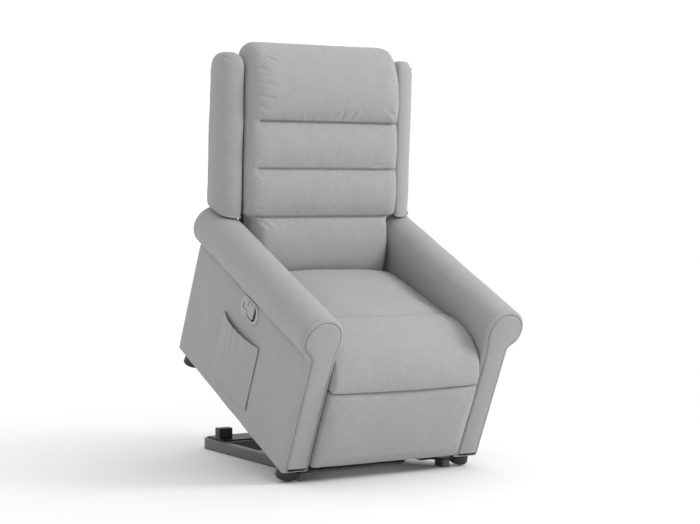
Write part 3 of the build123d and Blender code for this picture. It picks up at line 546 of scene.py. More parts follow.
def build_arm(side):
    seam_at = np.array([PANEL_X + 0.0002, 0.3755])
    out = march(arm_outline(), 0.0055, [(seam_at, 0.0010, 0.003), ((PANEL_X, 0.340), 0.0021, 0.034)])
    n = len(out)
    t = np.roll(out, -1, 0) - np.roll(out, 1, 0)
    t /= np.linalg.norm(t, axis=1)[:, None]
    inward = np.stack([-t[:, 1], t[:, 0]], 1)
    seg = np.linalg.norm(np.roll(out, -1, 0) - out, axis=1)
    s = np.concatenate([[0], np.cumsum(seg)[:-1]])
    d_seam = np.linalg.norm(out - seam_at, axis=1)
    outer = (out[:, 0] > ARM_OUT - 0.004) & (out[:, 1] < 0.372)
    on_roll = out[:, 1] > 0.375
    R = 0.0125

    def ring(ins, y):
        y = np.broadcast_to(y, (n,))
        fade = smoothstep((y - 0.020) / 0.012)
        sink = fade * (0.0026 * np.exp(-(d_seam / 0.0015) ** 2) + 0.0016 * np.exp(-(d_seam / 0.010) ** 2))
        # short puckers along the long seam
        sink = sink + fade * 0.0007 * np.exp(-(d_seam / 0.009) ** 2) * np.sin(y / 0.0075 + 2.2 * np.sin(y / 0.031)) * (0.5 + 0.5 * np.sin(y / 0.07))
        q = out + inward * (ins + sink)[:, None]
        return np.stack([q[:, 0], y, q[:, 1]], 1)
    # gathers where the front and rear panels are eased round the roll
    gather = (np.sin(s / 0.0095 + 2.0 * np.sin(s / 0.034)) * (0.55 + 0.45 * np.sin(s / 0.061 + 1.0)))
    ease = np.where(on_roll, 1.0, 0.45)
    prof = []
    keep = smoothstep((out[:, 1] - ARM_FOOT - 0.004) / 0.030)
    for ins, y, g in ((0.0190, -0.0040, 0.0), (0.0172, -0.0036, 0.0002), (0.0156, -0.0028, 0.0005), (0.0142, -0.0014, 0.0007),
                      (0.0131, 0.0002, 0.0005), (0.0124, 0.0020, 0.0002), (0.0118, 0.0034, 0.0), (0.0112, 0.0022, 0.0002),
                      (0.0104, 0.0006, 0.0005)):
        plain = np.interp(ins, (0.0104, 0.0190), (0.0006, -0.0040))
        prof.append((np.full(n, ins), plain + (y - plain + 1.0 * g * gather * ease) * keep))
    # the rounded edge, with a line of topstitching down the outer side
    for a in np.linspace(66, 0, 11):
        ins, y = R * (1 - math.cos(math.radians(a))), R * (1 - math.sin(math.radians(a)))
        g = 0.0006 * math.exp(-((a - 45) / 20.0) ** 2)
        prof.append((ins + g * gather * ease, np.full(n, y)))
    stitch = np.where(outer, 1.0, 0.25)
    for y in (0.0175, 0.0192, 0.0206, 0.0216, 0.0226, 0.0240, 0.0260, 0.029, 0.034):
        prof.append((0.0013 * np.exp(-((y - 0.0216) / 0.0013) ** 2) * stitch, np.full(n, y)))
    ys = [0.040]
    while ys[-1] < ARM_D - R - 0.012:
        y = ys[-1]
        ys.append(y + (0.0022 if 0.322 < y < 0.428 and side < 0 else 0.0075))
    prof += [(np.zeros(n), np.full(n, y)) for y in ys]
    rear = []
    for a in np.linspace(0, 66, 9):
        rear.append((np.full(n, R * (1 - math.cos(math.radians(a)))), np.full(n, ARM_D - R * (1 - math.sin(math.radians(a))))))
    for ins, y in ((0.0104, 0.0008), (0.0112, 0.0022), (0.0118, 0.0030), (0.0124, 0.0018), (0.0134, 0.0004), (0.0150, -0.0008), (0.0185, -0.0018)):
        rear.append((np.full(n, ins), np.full(n, ARM_D - y)))
    prof += rear
    rings = [ring(i, y) for i, y in prof]
    verts, faces = loft(rings)
    p = verts
    # padding: the outer panel stands a little fuller between its seams, and lies flat under the handle's plate
    noise = hash_noise(3 if side < 0 else 4)

    def hump(v, a, b):
        w = np.clip((v - a) / (b - a), 0, 1)
        return np.power(4 * w * (1 - w), 0.7)
    m = len(prof)
    o_ = np.tile(outer, m)
    nx = np.tile(-inward[:, 0], m)
    nz = np.tile(-inward[:, 1], m)
    body = (p[:, 1] > 0.012) & (p[:, 1] < ARM_D - 0.012)
    f = 0.0016 * o_ * hump(p[:, 1], 0.0, ARM_D) * hump(p[:, 2], 0.0, 0.376)
    inner = (p[:, 0] < ARM_IN + 0.004)
    f += (0.0007 * noise(p, 0.17) + 0.0003 * noise(p, 0.06)) * body * np.where(inner, 0.4, 1.0)
    if side < 0:
        dy = np.maximum(np.abs(p[:, 1] - 0.376) - 0.056, 0)
        dz = np.maximum(np.abs(p[:, 2] - 0.340) - 0.030, 0)
        near = np.exp(-((dy ** 2 + dz ** 2) / 0.022 ** 2)) * (p[:, 0] > 0.33)
        f = f * (1 - near) - 0.0017 * near
    # shallow dents and drag lines of the stretched cloth
    for (ya, za), (yb, zb), dep, w in DRAGS[side]:
        L = np.array([(ya, za), (yb, zb)])
        d, at = dist_to_polyline(p[:, 1:], L)
        k = np.sin(np.pi * np.clip(at / np.linalg.norm(L[1] - L[0]), 0, 1))
        f += o_ * dep * k * (-np.exp(-(d / w) ** 2) + 0.5 * np.exp(-((d - 1.9 * w) / w) ** 2))
    p = p + np.stack([nx * f, np.zeros(len(p)), nz * f], 1)
    if side < 0:
        cup = ((np.abs(p[:, 1] - 0.3605) < 0.0300) & (np.abs(p[:, 2] - 0.340) < 0.0277)) | (
            (p[:, 1] > 0.378) & (p[:, 1] < 0.4205) & (np.abs(p[:, 2] - 0.339) < 0.0165))
        p[:, 0] = np.where(cup & (p[:, 0] > 0.33), 0.3245, p[:, 0])
        p[:, 0] *= -1
        faces = [tuple(reversed(fc)) for fc in faces]
    return new_mesh("arm_%s_upholstery" % ("left" if side < 0 else "right"), p, faces)


DRAGS = {-1: [((0.060, 0.330), (0.120, 0.300), 0.0008, 0.010), ((0.10, 0.06), (0.20, 0.04), 0.0006, 0.012),
              ((0.60, 0.30), (0.68, 0.33), 0.0007, 0.012), ((0.58, 0.12), (0.66, 0.07), 0.0007, 0.014),
              ((0.45, 0.31), (0.52, 0.34), 0.0006, 0.010)],
         1: [((0.060, 0.330), (0.130, 0.290), 0.0008, 0.010), ((0.30, 0.20), (0.42, 0.26), 0.0006, 0.016),
             ((0.60, 0.30), (0.68, 0.33), 0.0007, 0.012), ((0.58, 0.12), (0.66, 0.07), 0.0007, 0.014)]}

arm_r = build_arm(1)
finish_soft(arm_r, "chair", ["arm_cover_right"])
arm_l = build_arm(-1)
finish_soft(arm_l, "chair", ["arm_cover_left"])

# ------------------------------------------------------------------ shared soft shapes
def bulge(a, b, depth, n=14, power=0.47):
    """Side view of one stuffed channel between two sewn lines a and b, as (n, u) points without the last one."""
    t = np.linspace(0, 1, n, endpoint=False)
    a, b = np.array(a), np.array(b)
    d = b - a
    nrm = np.array([-d[1], d[0]]) / np.linalg.norm(d)      # forward is -n
    f = np.power(np.maximum(4 * t * (1 - t), 0), power)
    return a + t[:, None] * d + f[:, None] * nrm * depth


def wrinkle(o, line, depth, width, ridge=0.5, taper=0.6, near=None):
    """A soft fold: a valley that fades at its ends, with a raised lip on each side. Body coordinates."""
    p = coords(o)
    line = np.asarray(line, float)
    lo, hi = line.min(0) - 5 * width, line.max(0) + 5 * width
    k = np.all((p > lo) & (p < hi), axis=1)
    if not k.any():
        return
    nrm = normals(o)[k]
    d, s = dist_to_polyline(p[k], line)
    L = np.linalg.norm(np.diff(line, axis=0), axis=1).sum()
    end = np.power(np.clip(np.sin(np.pi * np.clip(s / L, 0, 1)), 0, 1), taper)
    m = -depth * np.exp(-(d / width) ** 2) + ridge * depth * np.exp(-((d - 2.0 * width) / width) ** 2)
    p[k] += nrm * (m * end)[:, None]
    set_coords(o, p)


def surface_snap(o, pts, direction, step=None):
    """Points moved along a direction onto the piece's surface (body coordinates)."""
    from mathutils.bvhtree import BVHTree
    me = o.data
    tree = BVHTree.FromPolygons([v.co for v in me.vertices], [p.vertices for p in me.polygons])
    d = Vector(direction).normalized()
    out = []
    for q in pts:
        hit = tree.ray_cast(Vector(q) - d * 0.3, d)
        out.append(np.array(hit[0]) if hit[0] is not None else np.array(q))
    return np.array(out)


# ------------------------------------------------------------------ back cushion
C3, C2, C1 = 0.2397, 0.3904, 0.5378
HALF_TOP, HALF_LOW = 0.2762, 0.2445


def build_back_cushion():
    crease_n = {C3: 0.004, C2: -0.001, C1: 0.003}
    full, flat = [], []
    seg = [((0.030, 0.036), (crease_n[C3], C3), 0.032), ((crease_n[C3], C3), (crease_n[C2], C2), 0.022),
           ((crease_n[C2], C2), (crease_n[C1], C1), 0.022)]
    for a, b, dep in seg:
        full += list(bulge(a, b, dep, 22))
        flat += list(bulge(a, b, 0.010 if b[1] == C3 else 0.0, 22))
    # head pillow: front, crown and over the top
    head = np.array([(crease_n[C1], C1), (-0.017, C1 + 0.010), (-0.0265, C1 + 0.036), (-0.0325, C1 + 0.075),
                     (-0.0315, C1 + 0.118), (-0.0220, C1 + 0.162), (-0.0030, C1 + 0.200), (0.021, C1 + 0.2255),
                     (0.050, C1 + 0.2425), (0.080, C1 + 0.2455), (0.098, C1 + 0.235), (0.104, C1 + 0.207)])
    core = np.array([(crease_n[C1], C1), (0.004, C1 + 0.012), (0.007, C1 + 0.040), (0.010, C1 + 0.078),
                     (0.015, C1 + 0.118), (0.023, C1 + 0.154), (0.036, C1 + 0.182), (0.052, C1 + 0.200),
                     (0.067, C1 + 0.210), (0.084, C1 + 0.212), (0.097, C1 + 0.206), (0.101, C1 + 0.194)])
    tt = np.linspace(0, len(head) - 1, 64)
    base = np.arange(len(head))

    def spl(P):
        # smooth interpolation through the points
        out = np.empty((len(tt), 2))
        for j in range(2):
            y = P[:, j]
            m = np.gradient(y)
            i = np.clip(tt.astype(int), 0, len(P) - 2)
            t = tt - i
            h00, h10 = 2 * t ** 3 - 3 * t ** 2 + 1, t ** 3 - 2 * t ** 2 + t
            h01, h11 = -2 * t ** 3 + 3 * t ** 2, t ** 3 - t ** 2
            out[:, j] = h00 * y[i] + h10 * m[i] + h01 * y[i + 1] + h11 * m[i + 1]
        return out
    full += list(spl(head))
    flat += list(spl(core))
    nf = len(full)
    back = [(0.103, 0.722), (0.080, 0.720), (0.0585, 0.716), (0.0585, 0.60), (0.0585, 0.48), (0.0585, 0.36),
            (0.0585, 0.24), (0.0585, 0.12), (0.0585, 0.040), (0.040, 0.034)]
    full += back
    flat += back
    full, flat = np.array(full), np.array(flat)
    moves = np.zeros(len(full))
    moves[:nf] = 1.0
    # outward direction of the core at its front and top
    t = np.roll(flat, -1, 0) - np.roll(flat, 1, 0)
    t /= np.linalg.norm(t, axis=1)[:, None]
    out = np.stack([-t[:, 1], t[:, 0]], 1)
    def ring(xn, w_top, w_low):
        """Ring at the share xn of the half width, -1 to 1."""
        a = abs(xn)
        u = full[:, 1]
        R = np.where(u < C3 - 0.001, 0.030, 0.066 if xn < 0 else 0.050)
        w = np.where(u < C3 - 0.002, w_low, np.where(u > C3 + 0.004, w_top, w_low + (w_top - w_low) * smoothstep((u - C3 + 0.002) / 0.006)))
        edge = (a * w - (w - R)) / R
        edge = np.clip(edge, 0, 1)
        B = np.power(np.maximum(1 - edge ** 2.0, 0), 0.6)
        inset = 0.030 * (1 - np.sqrt(np.maximum(1 - np.clip((a * w - (w - 0.030)) / 0.030, 0, 1) ** 2, 0)))
        q = flat + (full - flat) * B[:, None] - out * (inset * moves)[:, None]
        return np.stack([xn * w, q[:, 0], q[:, 1]], 1)
    # stations: even in the middle, then finer round the ends
    mid = np.linspace(-0.80, 0.80, 74)
    ends = 0.80 + 0.20 * np.sin(np.linspace(0, math.pi / 2, 15))[1:]
    xs = np.concatenate([-ends[::-1], mid, ends])
    rings = [ring(x, HALF_TOP, HALF_LOW) for x in xs]
    verts, faces = loft(rings)
    o = new_mesh("back_cushion_upholstery", back_to_body(verts), faces)
    remesh(o, 0.006)
    laplacian(o, 2)
    # inner pressure fills the channels between the sewn lines
    p = coords(o)
    q = body_to_back(p)
    pins = np.zeros(len(p))
    pins[(q[:, 1] > 0.045) & (q[:, 2] < 0.70)] = 1
    pins[(q[:, 1] > 0.080)] = 1
    for cu in (C3, C2, C1):
        pins[(np.abs(q[:, 2] - cu) < 0.0045) & (q[:, 1] < 0.04) & (np.abs(q[:, 0]) < 0.245)] = 1
    pins[q[:, 2] < 0.045] = 1
    inflate(o, pins, pressure=3.6, frames=18, cap=0.012, shrink=-0.002, stiff=10.0, bend=0.3)
    laplacian(o, 3, 0.5)
    subdivide(o, 1)
    # the top corners are pulled in: the right one rounder than the left
    p = coords(o)
    q = body_to_back(p)
    for side, r in ((1, 0.078), (-1, 0.042)):
        cx, cu = side * (HALF_TOP + 0.004 - r), 0.785 - r
        dx, du = (q[:, 0] - cx) * side, q[:, 2] - cu
        k = (dx > 0) & (du > 0)
        d = np.hypot(dx, du)
        f = np.where(k & (d > r), r / np.maximum(d, 1e-6), 1.0)
        f = 1 - (1 - f) * 0.85
        q[:, 0] = np.where(k, cx + side * dx * f, q[:, 0])
        q[:, 2] = np.where(k, cu + du * f, q[:, 2])
    set_coords(o, back_to_body(q))
    noise = hash_noise(11)
    p = coords(o)
    nrm = normals(o)
    q = body_to_back(p)
    front = smoothstep((0.045 - q[:, 1]) / 0.02)
    p += nrm * (front * (0.0011 * noise(q, 0.20) + 0.0004 * noise(q, 0.07)))[:, None]
    set_coords(o, p)

    def on_front(pts):
        """(x, u) on the cushion's face, as body points on its surface."""
        start = back_to_body(np.array([(x, 0.0, u) for x, u in pts]))
        d = back_to_body(np.array([[0, 1.0, 0]]))[0] - back_to_body(np.array([[0, 0.0, 0]]))[0]
        return surface_snap(o, start, d)
    # sewn lines
    for cu, x0, x1 in ((C3, -0.246, 0.262), (C2, -0.240, 0.268), (C1, -0.236, 0.268)):
        line = on_front([(x, cu) for x in np.linspace(x0, x1, 60)])
        groove(o, [line], depth=0.0110, width=0.0027)
        # small gathers where the cloth is drawn into the seam
        p = coords(o)
        q = body_to_back(p)
        nrm = normals(o)
        du = q[:, 2] - cu
        xx = q[:, 0]
        amp = 0.00055 * np.exp(-((np.abs(du) - 0.010) / 0.008) ** 2) * (q[:, 1] < 0.035)
        wv = np.sin(xx / 0.0085 + 2.0 * np.sin(xx / 0.027 + cu * 40)) * (0.55 + 0.45 * np.sin(xx / 0.05 + cu * 17))
        p += nrm * (amp * wv)[:, None]
        set_coords(o, p)
    # puckers above the top seam
    for x, u, dx, du, dep in ((-0.085, 0.546, 0.012, 0.018, 0.0014), (-0.040, 0.545, 0.026, 0.024, 0.0024),
                              (0.010, 0.545, 0.018, 0.026, 0.0018), (0.046, 0.545, 0.010, 0.034, 0.0022),
                              (0.078, 0.545, 0.022, 0.040, 0.0026), (0.108, 0.546, 0.012, 0.020, 0.0014)):
        pts = on_front([(x, u), (x + 0.4 * dx, u + 0.45 * du), (x + dx, u + du)])
        wrinkle(o, pts, dep, 0.0055, ridge=0.55)
    # near the right end of the middle seam, and below the low seam at the left
    for a, b, dep, w in (((0.160, 0.398), (0.205, 0.408), 0.0018, 0.005), ((0.150, 0.386), (0.215, 0.381), 0.0014, 0.005),
                         ((-0.235, 0.232), (-0.200, 0.205), 0.0024, 0.006), ((-0.215, 0.235), (-0.165, 0.212), 0.0018, 0.006),
                         ((0.236, 0.232), (0.205, 0.212), 0.0022, 0.006), ((-0.120, 0.232), (-0.100, 0.215), 0.0012, 0.006),
                         ((0.02, 0.233), (0.045, 0.214), 0.0012, 0.006), ((-0.255, 0.612), (-0.195, 0.606), 0.0022, 0.006),
                         ((-0.258, 0.650), (-0.205, 0.652), 0.0026, 0.006), ((-0.250, 0.580), (-0.215, 0.572), 0.0016, 0.006),
                         ((-0.225, 0.735), (-0.190, 0.722), 0.0034, 0.0055), ((-0.262, 0.700), (-0.215, 0.690), 0.0020, 0.006),
                         ((0.262, 0.640), (0.225, 0.650), 0.0016, 0.006), ((0.250, 0.560), (0.215, 0.575), 0.0016, 0.006),
                         ((-0.250, 0.402), (-0.222, 0.425), 0.0018, 0.006), ((-0.248, 0.378), (-0.220, 0.360), 0.0016, 0.006),
                         ((-0.252, 0.255), (-0.224, 0.275), 0.0018, 0.006)):
        pts = on_front([a, ((a[0] + b[0]) / 2, (a[1] + b[1]) / 2 + 0.002), b])
        wrinkle(o, pts, dep, w, ridge=0.5)
    # pleats gathered at the top corners
    for side in (-1, 1):
        for n0, u0, n1, u1, dep in ((0.050, 0.758, 0.006, 0.735, 0.0035), (0.060, 0.764, 0.020, 0.752, 0.0028),
                                    (0.075, 0.768, 0.048, 0.764, 0.0024)):
            a = np.array([side * 0.252, n0, u0])
            b = np.array([side * 0.222, n1, u1])
            m = (a + b) / 2 + np.array([0, 0, 0.006])
            wrinkle(o, back_to_body(np.array([a, m, b])), dep if side < 0 else dep * 0.5, 0.0055, ridge=0.6)
    # seam between the face and the side gusset
    for side in (-1, 1):
        line = back_to_body(np.array([(side * (HALF_TOP + 0.004), 0.040, u) for u in np.linspace(0.262, 0.70, 60)]))
        groove(o, [surface_snap(o, line, (-side, 0, 0))], depth=0.0016, width=0.0022, puff=0.0008, puff_width=0.008)
    return o


def body_to_back(p):
    p = np.asarray(p, float)
    y, z = p[..., 1] - BACK_Y, p[..., 2] - BACK_Z
    return np.stack([p[..., 0], y * CL - z * SL, y * SL + z * CL], -1)


back_cushion = build_back_cushion()
finish_soft(back_cushion, "backrest", ["back_cushion"])


# ------------------------------------------------------------------ seat cushion
def resample_pair(A, B, step):
    """Two open polylines of equal point count, refined together."""
    A, B = np.asarray(A, float), np.asarray(B, float)
    L = np.linalg.norm(np.diff(B, axis=0), axis=1)
    outA, outB = [], []
    for i in range(len(A) - 1):
        n = max(1, int(round(L[i] / step)))
        for t in np.linspace(0, 1, n, endpoint=False):
            outA.append(A[i] + t * (A[i + 1] - A[i]))
            outB.append(B[i] + t * (B[i + 1] - B[i]))
    return np.array(outA), np.array(outB)


def smooth_open(P, n):
    """A smooth curve through open points."""
    P = np.asarray(P, float)
    tt = np.linspace(0, len(P) - 1, n)
    i = np.clip(tt.astype(int), 0, len(P) - 2)
    t = (tt - i)[:, None]
    m = np.gradient(P, axis=0)
    return ((2 * t ** 3 - 3 * t ** 2 + 1) * P[i] + (t ** 3 - 2 * t ** 2 + t) * m[i]
            + (-2 * t ** 3 + 3 * t ** 2) * P[i + 1] + (t ** 3 - t ** 2) * m[i + 1])


SEAT_W = 0.2572


def build_seat():
    # (y, z) at the sides and along the middle, from the front crease over the top to the rear
    side = np.array([(0.010, 0.2676), (-0.010, 0.2676), (-0.0185, 0.279), (-0.0125, 0.316), (0.009, 0.350), (0.042, 0.374),
                     (0.082, 0.3915), (0.125, 0.398), (0.165, 0.3965), (0.205, 0.390), (0.249, 0.3840), (0.318, 0.3785),
                     (0.387, 0.3735), (0.450, 0.3670), (0.500, 0.361), (0.550, 0.353), (0.588, 0.343)])
    mid = np.array([(0.010, 0.2676), (-0.016, 0.2676), (-0.0275, 0.281), (-0.0225, 0.324), (0.002, 0.366), (0.040, 0.394),
                    (0.082, 0.411), (0.125, 0.418), (0.165, 0.4155), (0.205, 0.4115), (0.249, 0.4085), (0.318, 0.404),
                    (0.387, 0.4015), (0.450, 0.3985), (0.500, 0.3945), (0.536, 0.387), (0.556, 0.370)])
    n = 120
    E, M = smooth_open(side, n), smooth_open(mid, n)
    bottom = np.array([(0.574, 0.318), (0.589, 0.272), (0.50, 0.270), (0.40, 0.270), (0.30, 0.270), (0.20, 0.270),
                       (0.10, 0.270), (0.05, 0.270)])
    E, M = np.vstack([E, bottom]), np.vstack([M, bottom])
    top = np.zeros(len(E))
    top[:n] = 1
    t = np.roll(E, -1, 0) - np.roll(E, 1, 0)
    t /= np.maximum(np.linalg.norm(t, axis=1), 1e-9)[:, None]
    out = np.stack([-t[:, 1], t[:, 0]], 1)
    a = np.linspace(0, math.pi / 2, 12)[1:]
    r = 0.010
    xs = np.concatenate([np.linspace(-(SEAT_W - r), SEAT_W - r, 90)])
    xs = np.concatenate([-(SEAT_W - r) - r * np.sin(a[::-1]), xs, (SEAT_W - r) + r * np.sin(a)])
    rings = []
    for x in xs:
        s = min(abs(x) / SEAT_W, 1)
        K = (1 - s ** 2.3) ** 0.62 if s < 1 else 0.0
        e = max(0.0, (abs(x) - (SEAT_W - r)) / r)
        inset = r * (1 - math.sqrt(max(1 - e * e, 0)))
        q = E + (M - E) * K - out * (inset * top)[:, None]
        rings.append(np.stack([np.full(len(q), x), q[:, 0], q[:, 1]], 1))
    verts, faces = loft(rings)
    o = new_mesh("seat_cushion_upholstery", verts, faces)
    remesh(o, 0.006)
    laplacian(o, 2)
    p = coords(o)
    pins = np.zeros(len(p))
    pins[(p[:, 2] < 0.276)] = 1
    pins[np.abs(p[:, 0]) > SEAT_W - 0.004] = 1
    pins[p[:, 1] > 0.535] = 1
    # the lightly tacked cross seam
    yc = 0.225 - 0.05 * (1 - (p[:, 0] / SEAT_W) ** 2)
    pins[(np.abs(p[:, 1] - yc) < 0.004) & (p[:, 2] > 0.34)] = 0.9
    inflate(o, pins, pressure=2.6, frames=16, cap=0.008, shrink=-0.002, stiff=10.0, bend=0.3)
    laplacian(o, 2, 0.5)
    subdivide(o, 1)
    noise = hash_noise(21)
    p = coords(o)
    nrm = normals(o)
    topk = smoothstep((nrm[:, 2] + 0.2) / 0.5) + smoothstep((-nrm[:, 1] - 0.3) / 0.4)
    topk = np.clip(topk, 0, 1) * (np.abs(p[:, 0]) < SEAT_W - 0.006)
    p += nrm * (topk * (0.0014 * noise(p, 0.24) + 0.0004 * noise(p, 0.08)))[:, None]
    p[:, 0] = np.clip(p[:, 0], -SEAT_W, SEAT_W)
    set_coords(o, p)
    xs = np.linspace(-0.246, 0.246, 80)
    ys = 0.225 - 0.05 * (1 - (xs / SEAT_W) ** 2)
    line = surface_snap(o, [(x, y, 0.45) for x, y in zip(xs, ys)], (0, 0, -1))
    groove(o, [line], depth=0.0032, width=0.0026, puff=0.0018, puff_width=0.016)
    # soft folds at the front corners and beside the cross seam
    for a, b, dep, w in (((-0.236, 0.060), (-0.205, 0.095), 0.0018, 0.007), ((0.236, 0.060), (0.200, 0.090), 0.0020, 0.007),
                         ((-0.238, 0.215), (-0.200, 0.250), 0.0016, 0.007), ((0.238, 0.225), (0.198, 0.262), 0.0018, 0.007),
                         ((0.232, 0.180), (0.200, 0.150), 0.0012, 0.007)):
        m = ((a[0] + b[0]) / 2 + 0.002, (a[1] + b[1]) / 2)
        pts = surface_snap(o, [(a[0], a[1], 0.46), (m[0], m[1], 0.46), (b[0], b[1], 0.46)], (0, 0, -1))
        wrinkle(o, pts, dep, w, ridge=0.5)
    # gathers along the tight front crease
    p = coords(o)
    nrm = normals(o)
    amp = 0.0006 * np.exp(-((p[:, 2] - 0.287) / 0.010) ** 2) * (p[:, 1] < 0.03)
    wv = np.sin(p[:, 0] / 0.009 + 2 * np.sin(p[:, 0] / 0.029)) * (0.6 + 0.4 * np.sin(p[:, 0] / 0.043))
    p += nrm * (amp * wv)[:, None]
    set_coords(o, p)
    return o


seat = build_seat()
finish_soft(seat, "chair", ["seat_cushion"])


# ------------------------------------------------------------------ footrest pad
def build_footrest():
    w, zb, zt = 0.2576, 0.0095, 0.2672
    n = 90
    front = np.array([(0.0035, zt), (-0.010, zt + 0.0003), (-0.0190, zt - 0.0025), (-0.0225, zt - 0.016), (-0.0255, zt - 0.045),
                      (-0.0275, zt - 0.085), (-0.0275, zt - 0.130), (-0.0262, zt - 0.180), (-0.0235, zt - 0.220),
                      (-0.0185, zt - 0.242), (-0.0105, zt - 0.2508), (0.0035, zb)])
    side = front.copy()
    side[1:-1, 0] = np.maximum(side[1:-1, 0] * 0.86, -0.0215)
    E, M = smooth_open(side, n), smooth_open(front, n)
    r = 0.013
    a = np.linspace(0, math.pi / 2, 10)[1:]
    xs = np.linspace(-(w - r), w - r, 84)
    xs = np.concatenate([-(w - r) - r * np.sin(a[::-1]), xs, (w - r) + r * np.sin(a)])
    rings = []
    for x in xs:
        s = min(abs(x) / w, 1)
        K = (1 - s ** 3.0) ** 0.7 if s < 1 else 0.0
        e = max(0.0, (abs(x) - (w - r)) / r)
        ins = r * (1 - math.sqrt(max(1 - e * e, 0)))
        q = E + (M - E) * K
        mid = (zb + zt) / 2
        y = q[:, 0] + ins * 0.80 * np.clip(-q[:, 0] / 0.0145, 0, 1)
        # the lower corners are rounded more than the upper ones
        low = q[:, 1] < mid
        lim_hi = zt - 0.25 * ins
        lim_lo = zb + 0.7 * ins
        z = np.where(low, np.maximum(q[:, 1], lim_lo), np.minimum(q[:, 1], lim_hi))
        rings.append(np.stack([np.full(len(q), x), np.minimum(y, 0.0035), z], 1))
    # the cover is turned over the edges of the board behind
    rings = [np.vstack([g, [(g[0, 0], 0.0230, max(g[-1, 2], zb)), (g[0, 0], 0.0230, min(g[0, 2], zt))]]) for g in rings]
    verts, faces = loft(rings)
    o = new_mesh("footrest_pad_upholstery", verts, faces)
    remesh(o, 0.005)
    laplacian(o, 3)
    p = coords(o)
    pins = (p[:, 1] > -0.0100).astype(float)
    inflate(o, pins, pressure=1.6, frames=12, cap=0.0025, shrink=0.0, stiff=10.0, bend=0.6)
    laplacian(o, 2)
    subdivide(o, 1)
    noise = hash_noise(31)
    p = coords(o)
    nrm = normals(o)
    k = smoothstep((-nrm[:, 1] - 0.2) / 0.4)
    p += nrm * (k * (0.0012 * noise(p, 0.20) + 0.0004 * noise(p, 0.07)))[:, None]
    # gathers along the top edge
    amp = 0.0006 * np.exp(-((p[:, 2] - 0.256) / 0.010) ** 2) * (p[:, 1] < -0.012)
    wv = np.sin(p[:, 0] / 0.0095 + 2 * np.sin(p[:, 0] / 0.033 + 1)) * (0.6 + 0.4 * np.sin(p[:, 0] / 0.051))
    p += nrm * (amp * wv)[:, None]
    set_coords(o, p)
    return o


footrest = build_footrest()
finish_soft(footrest, "footrest", ["footrest_pad"])


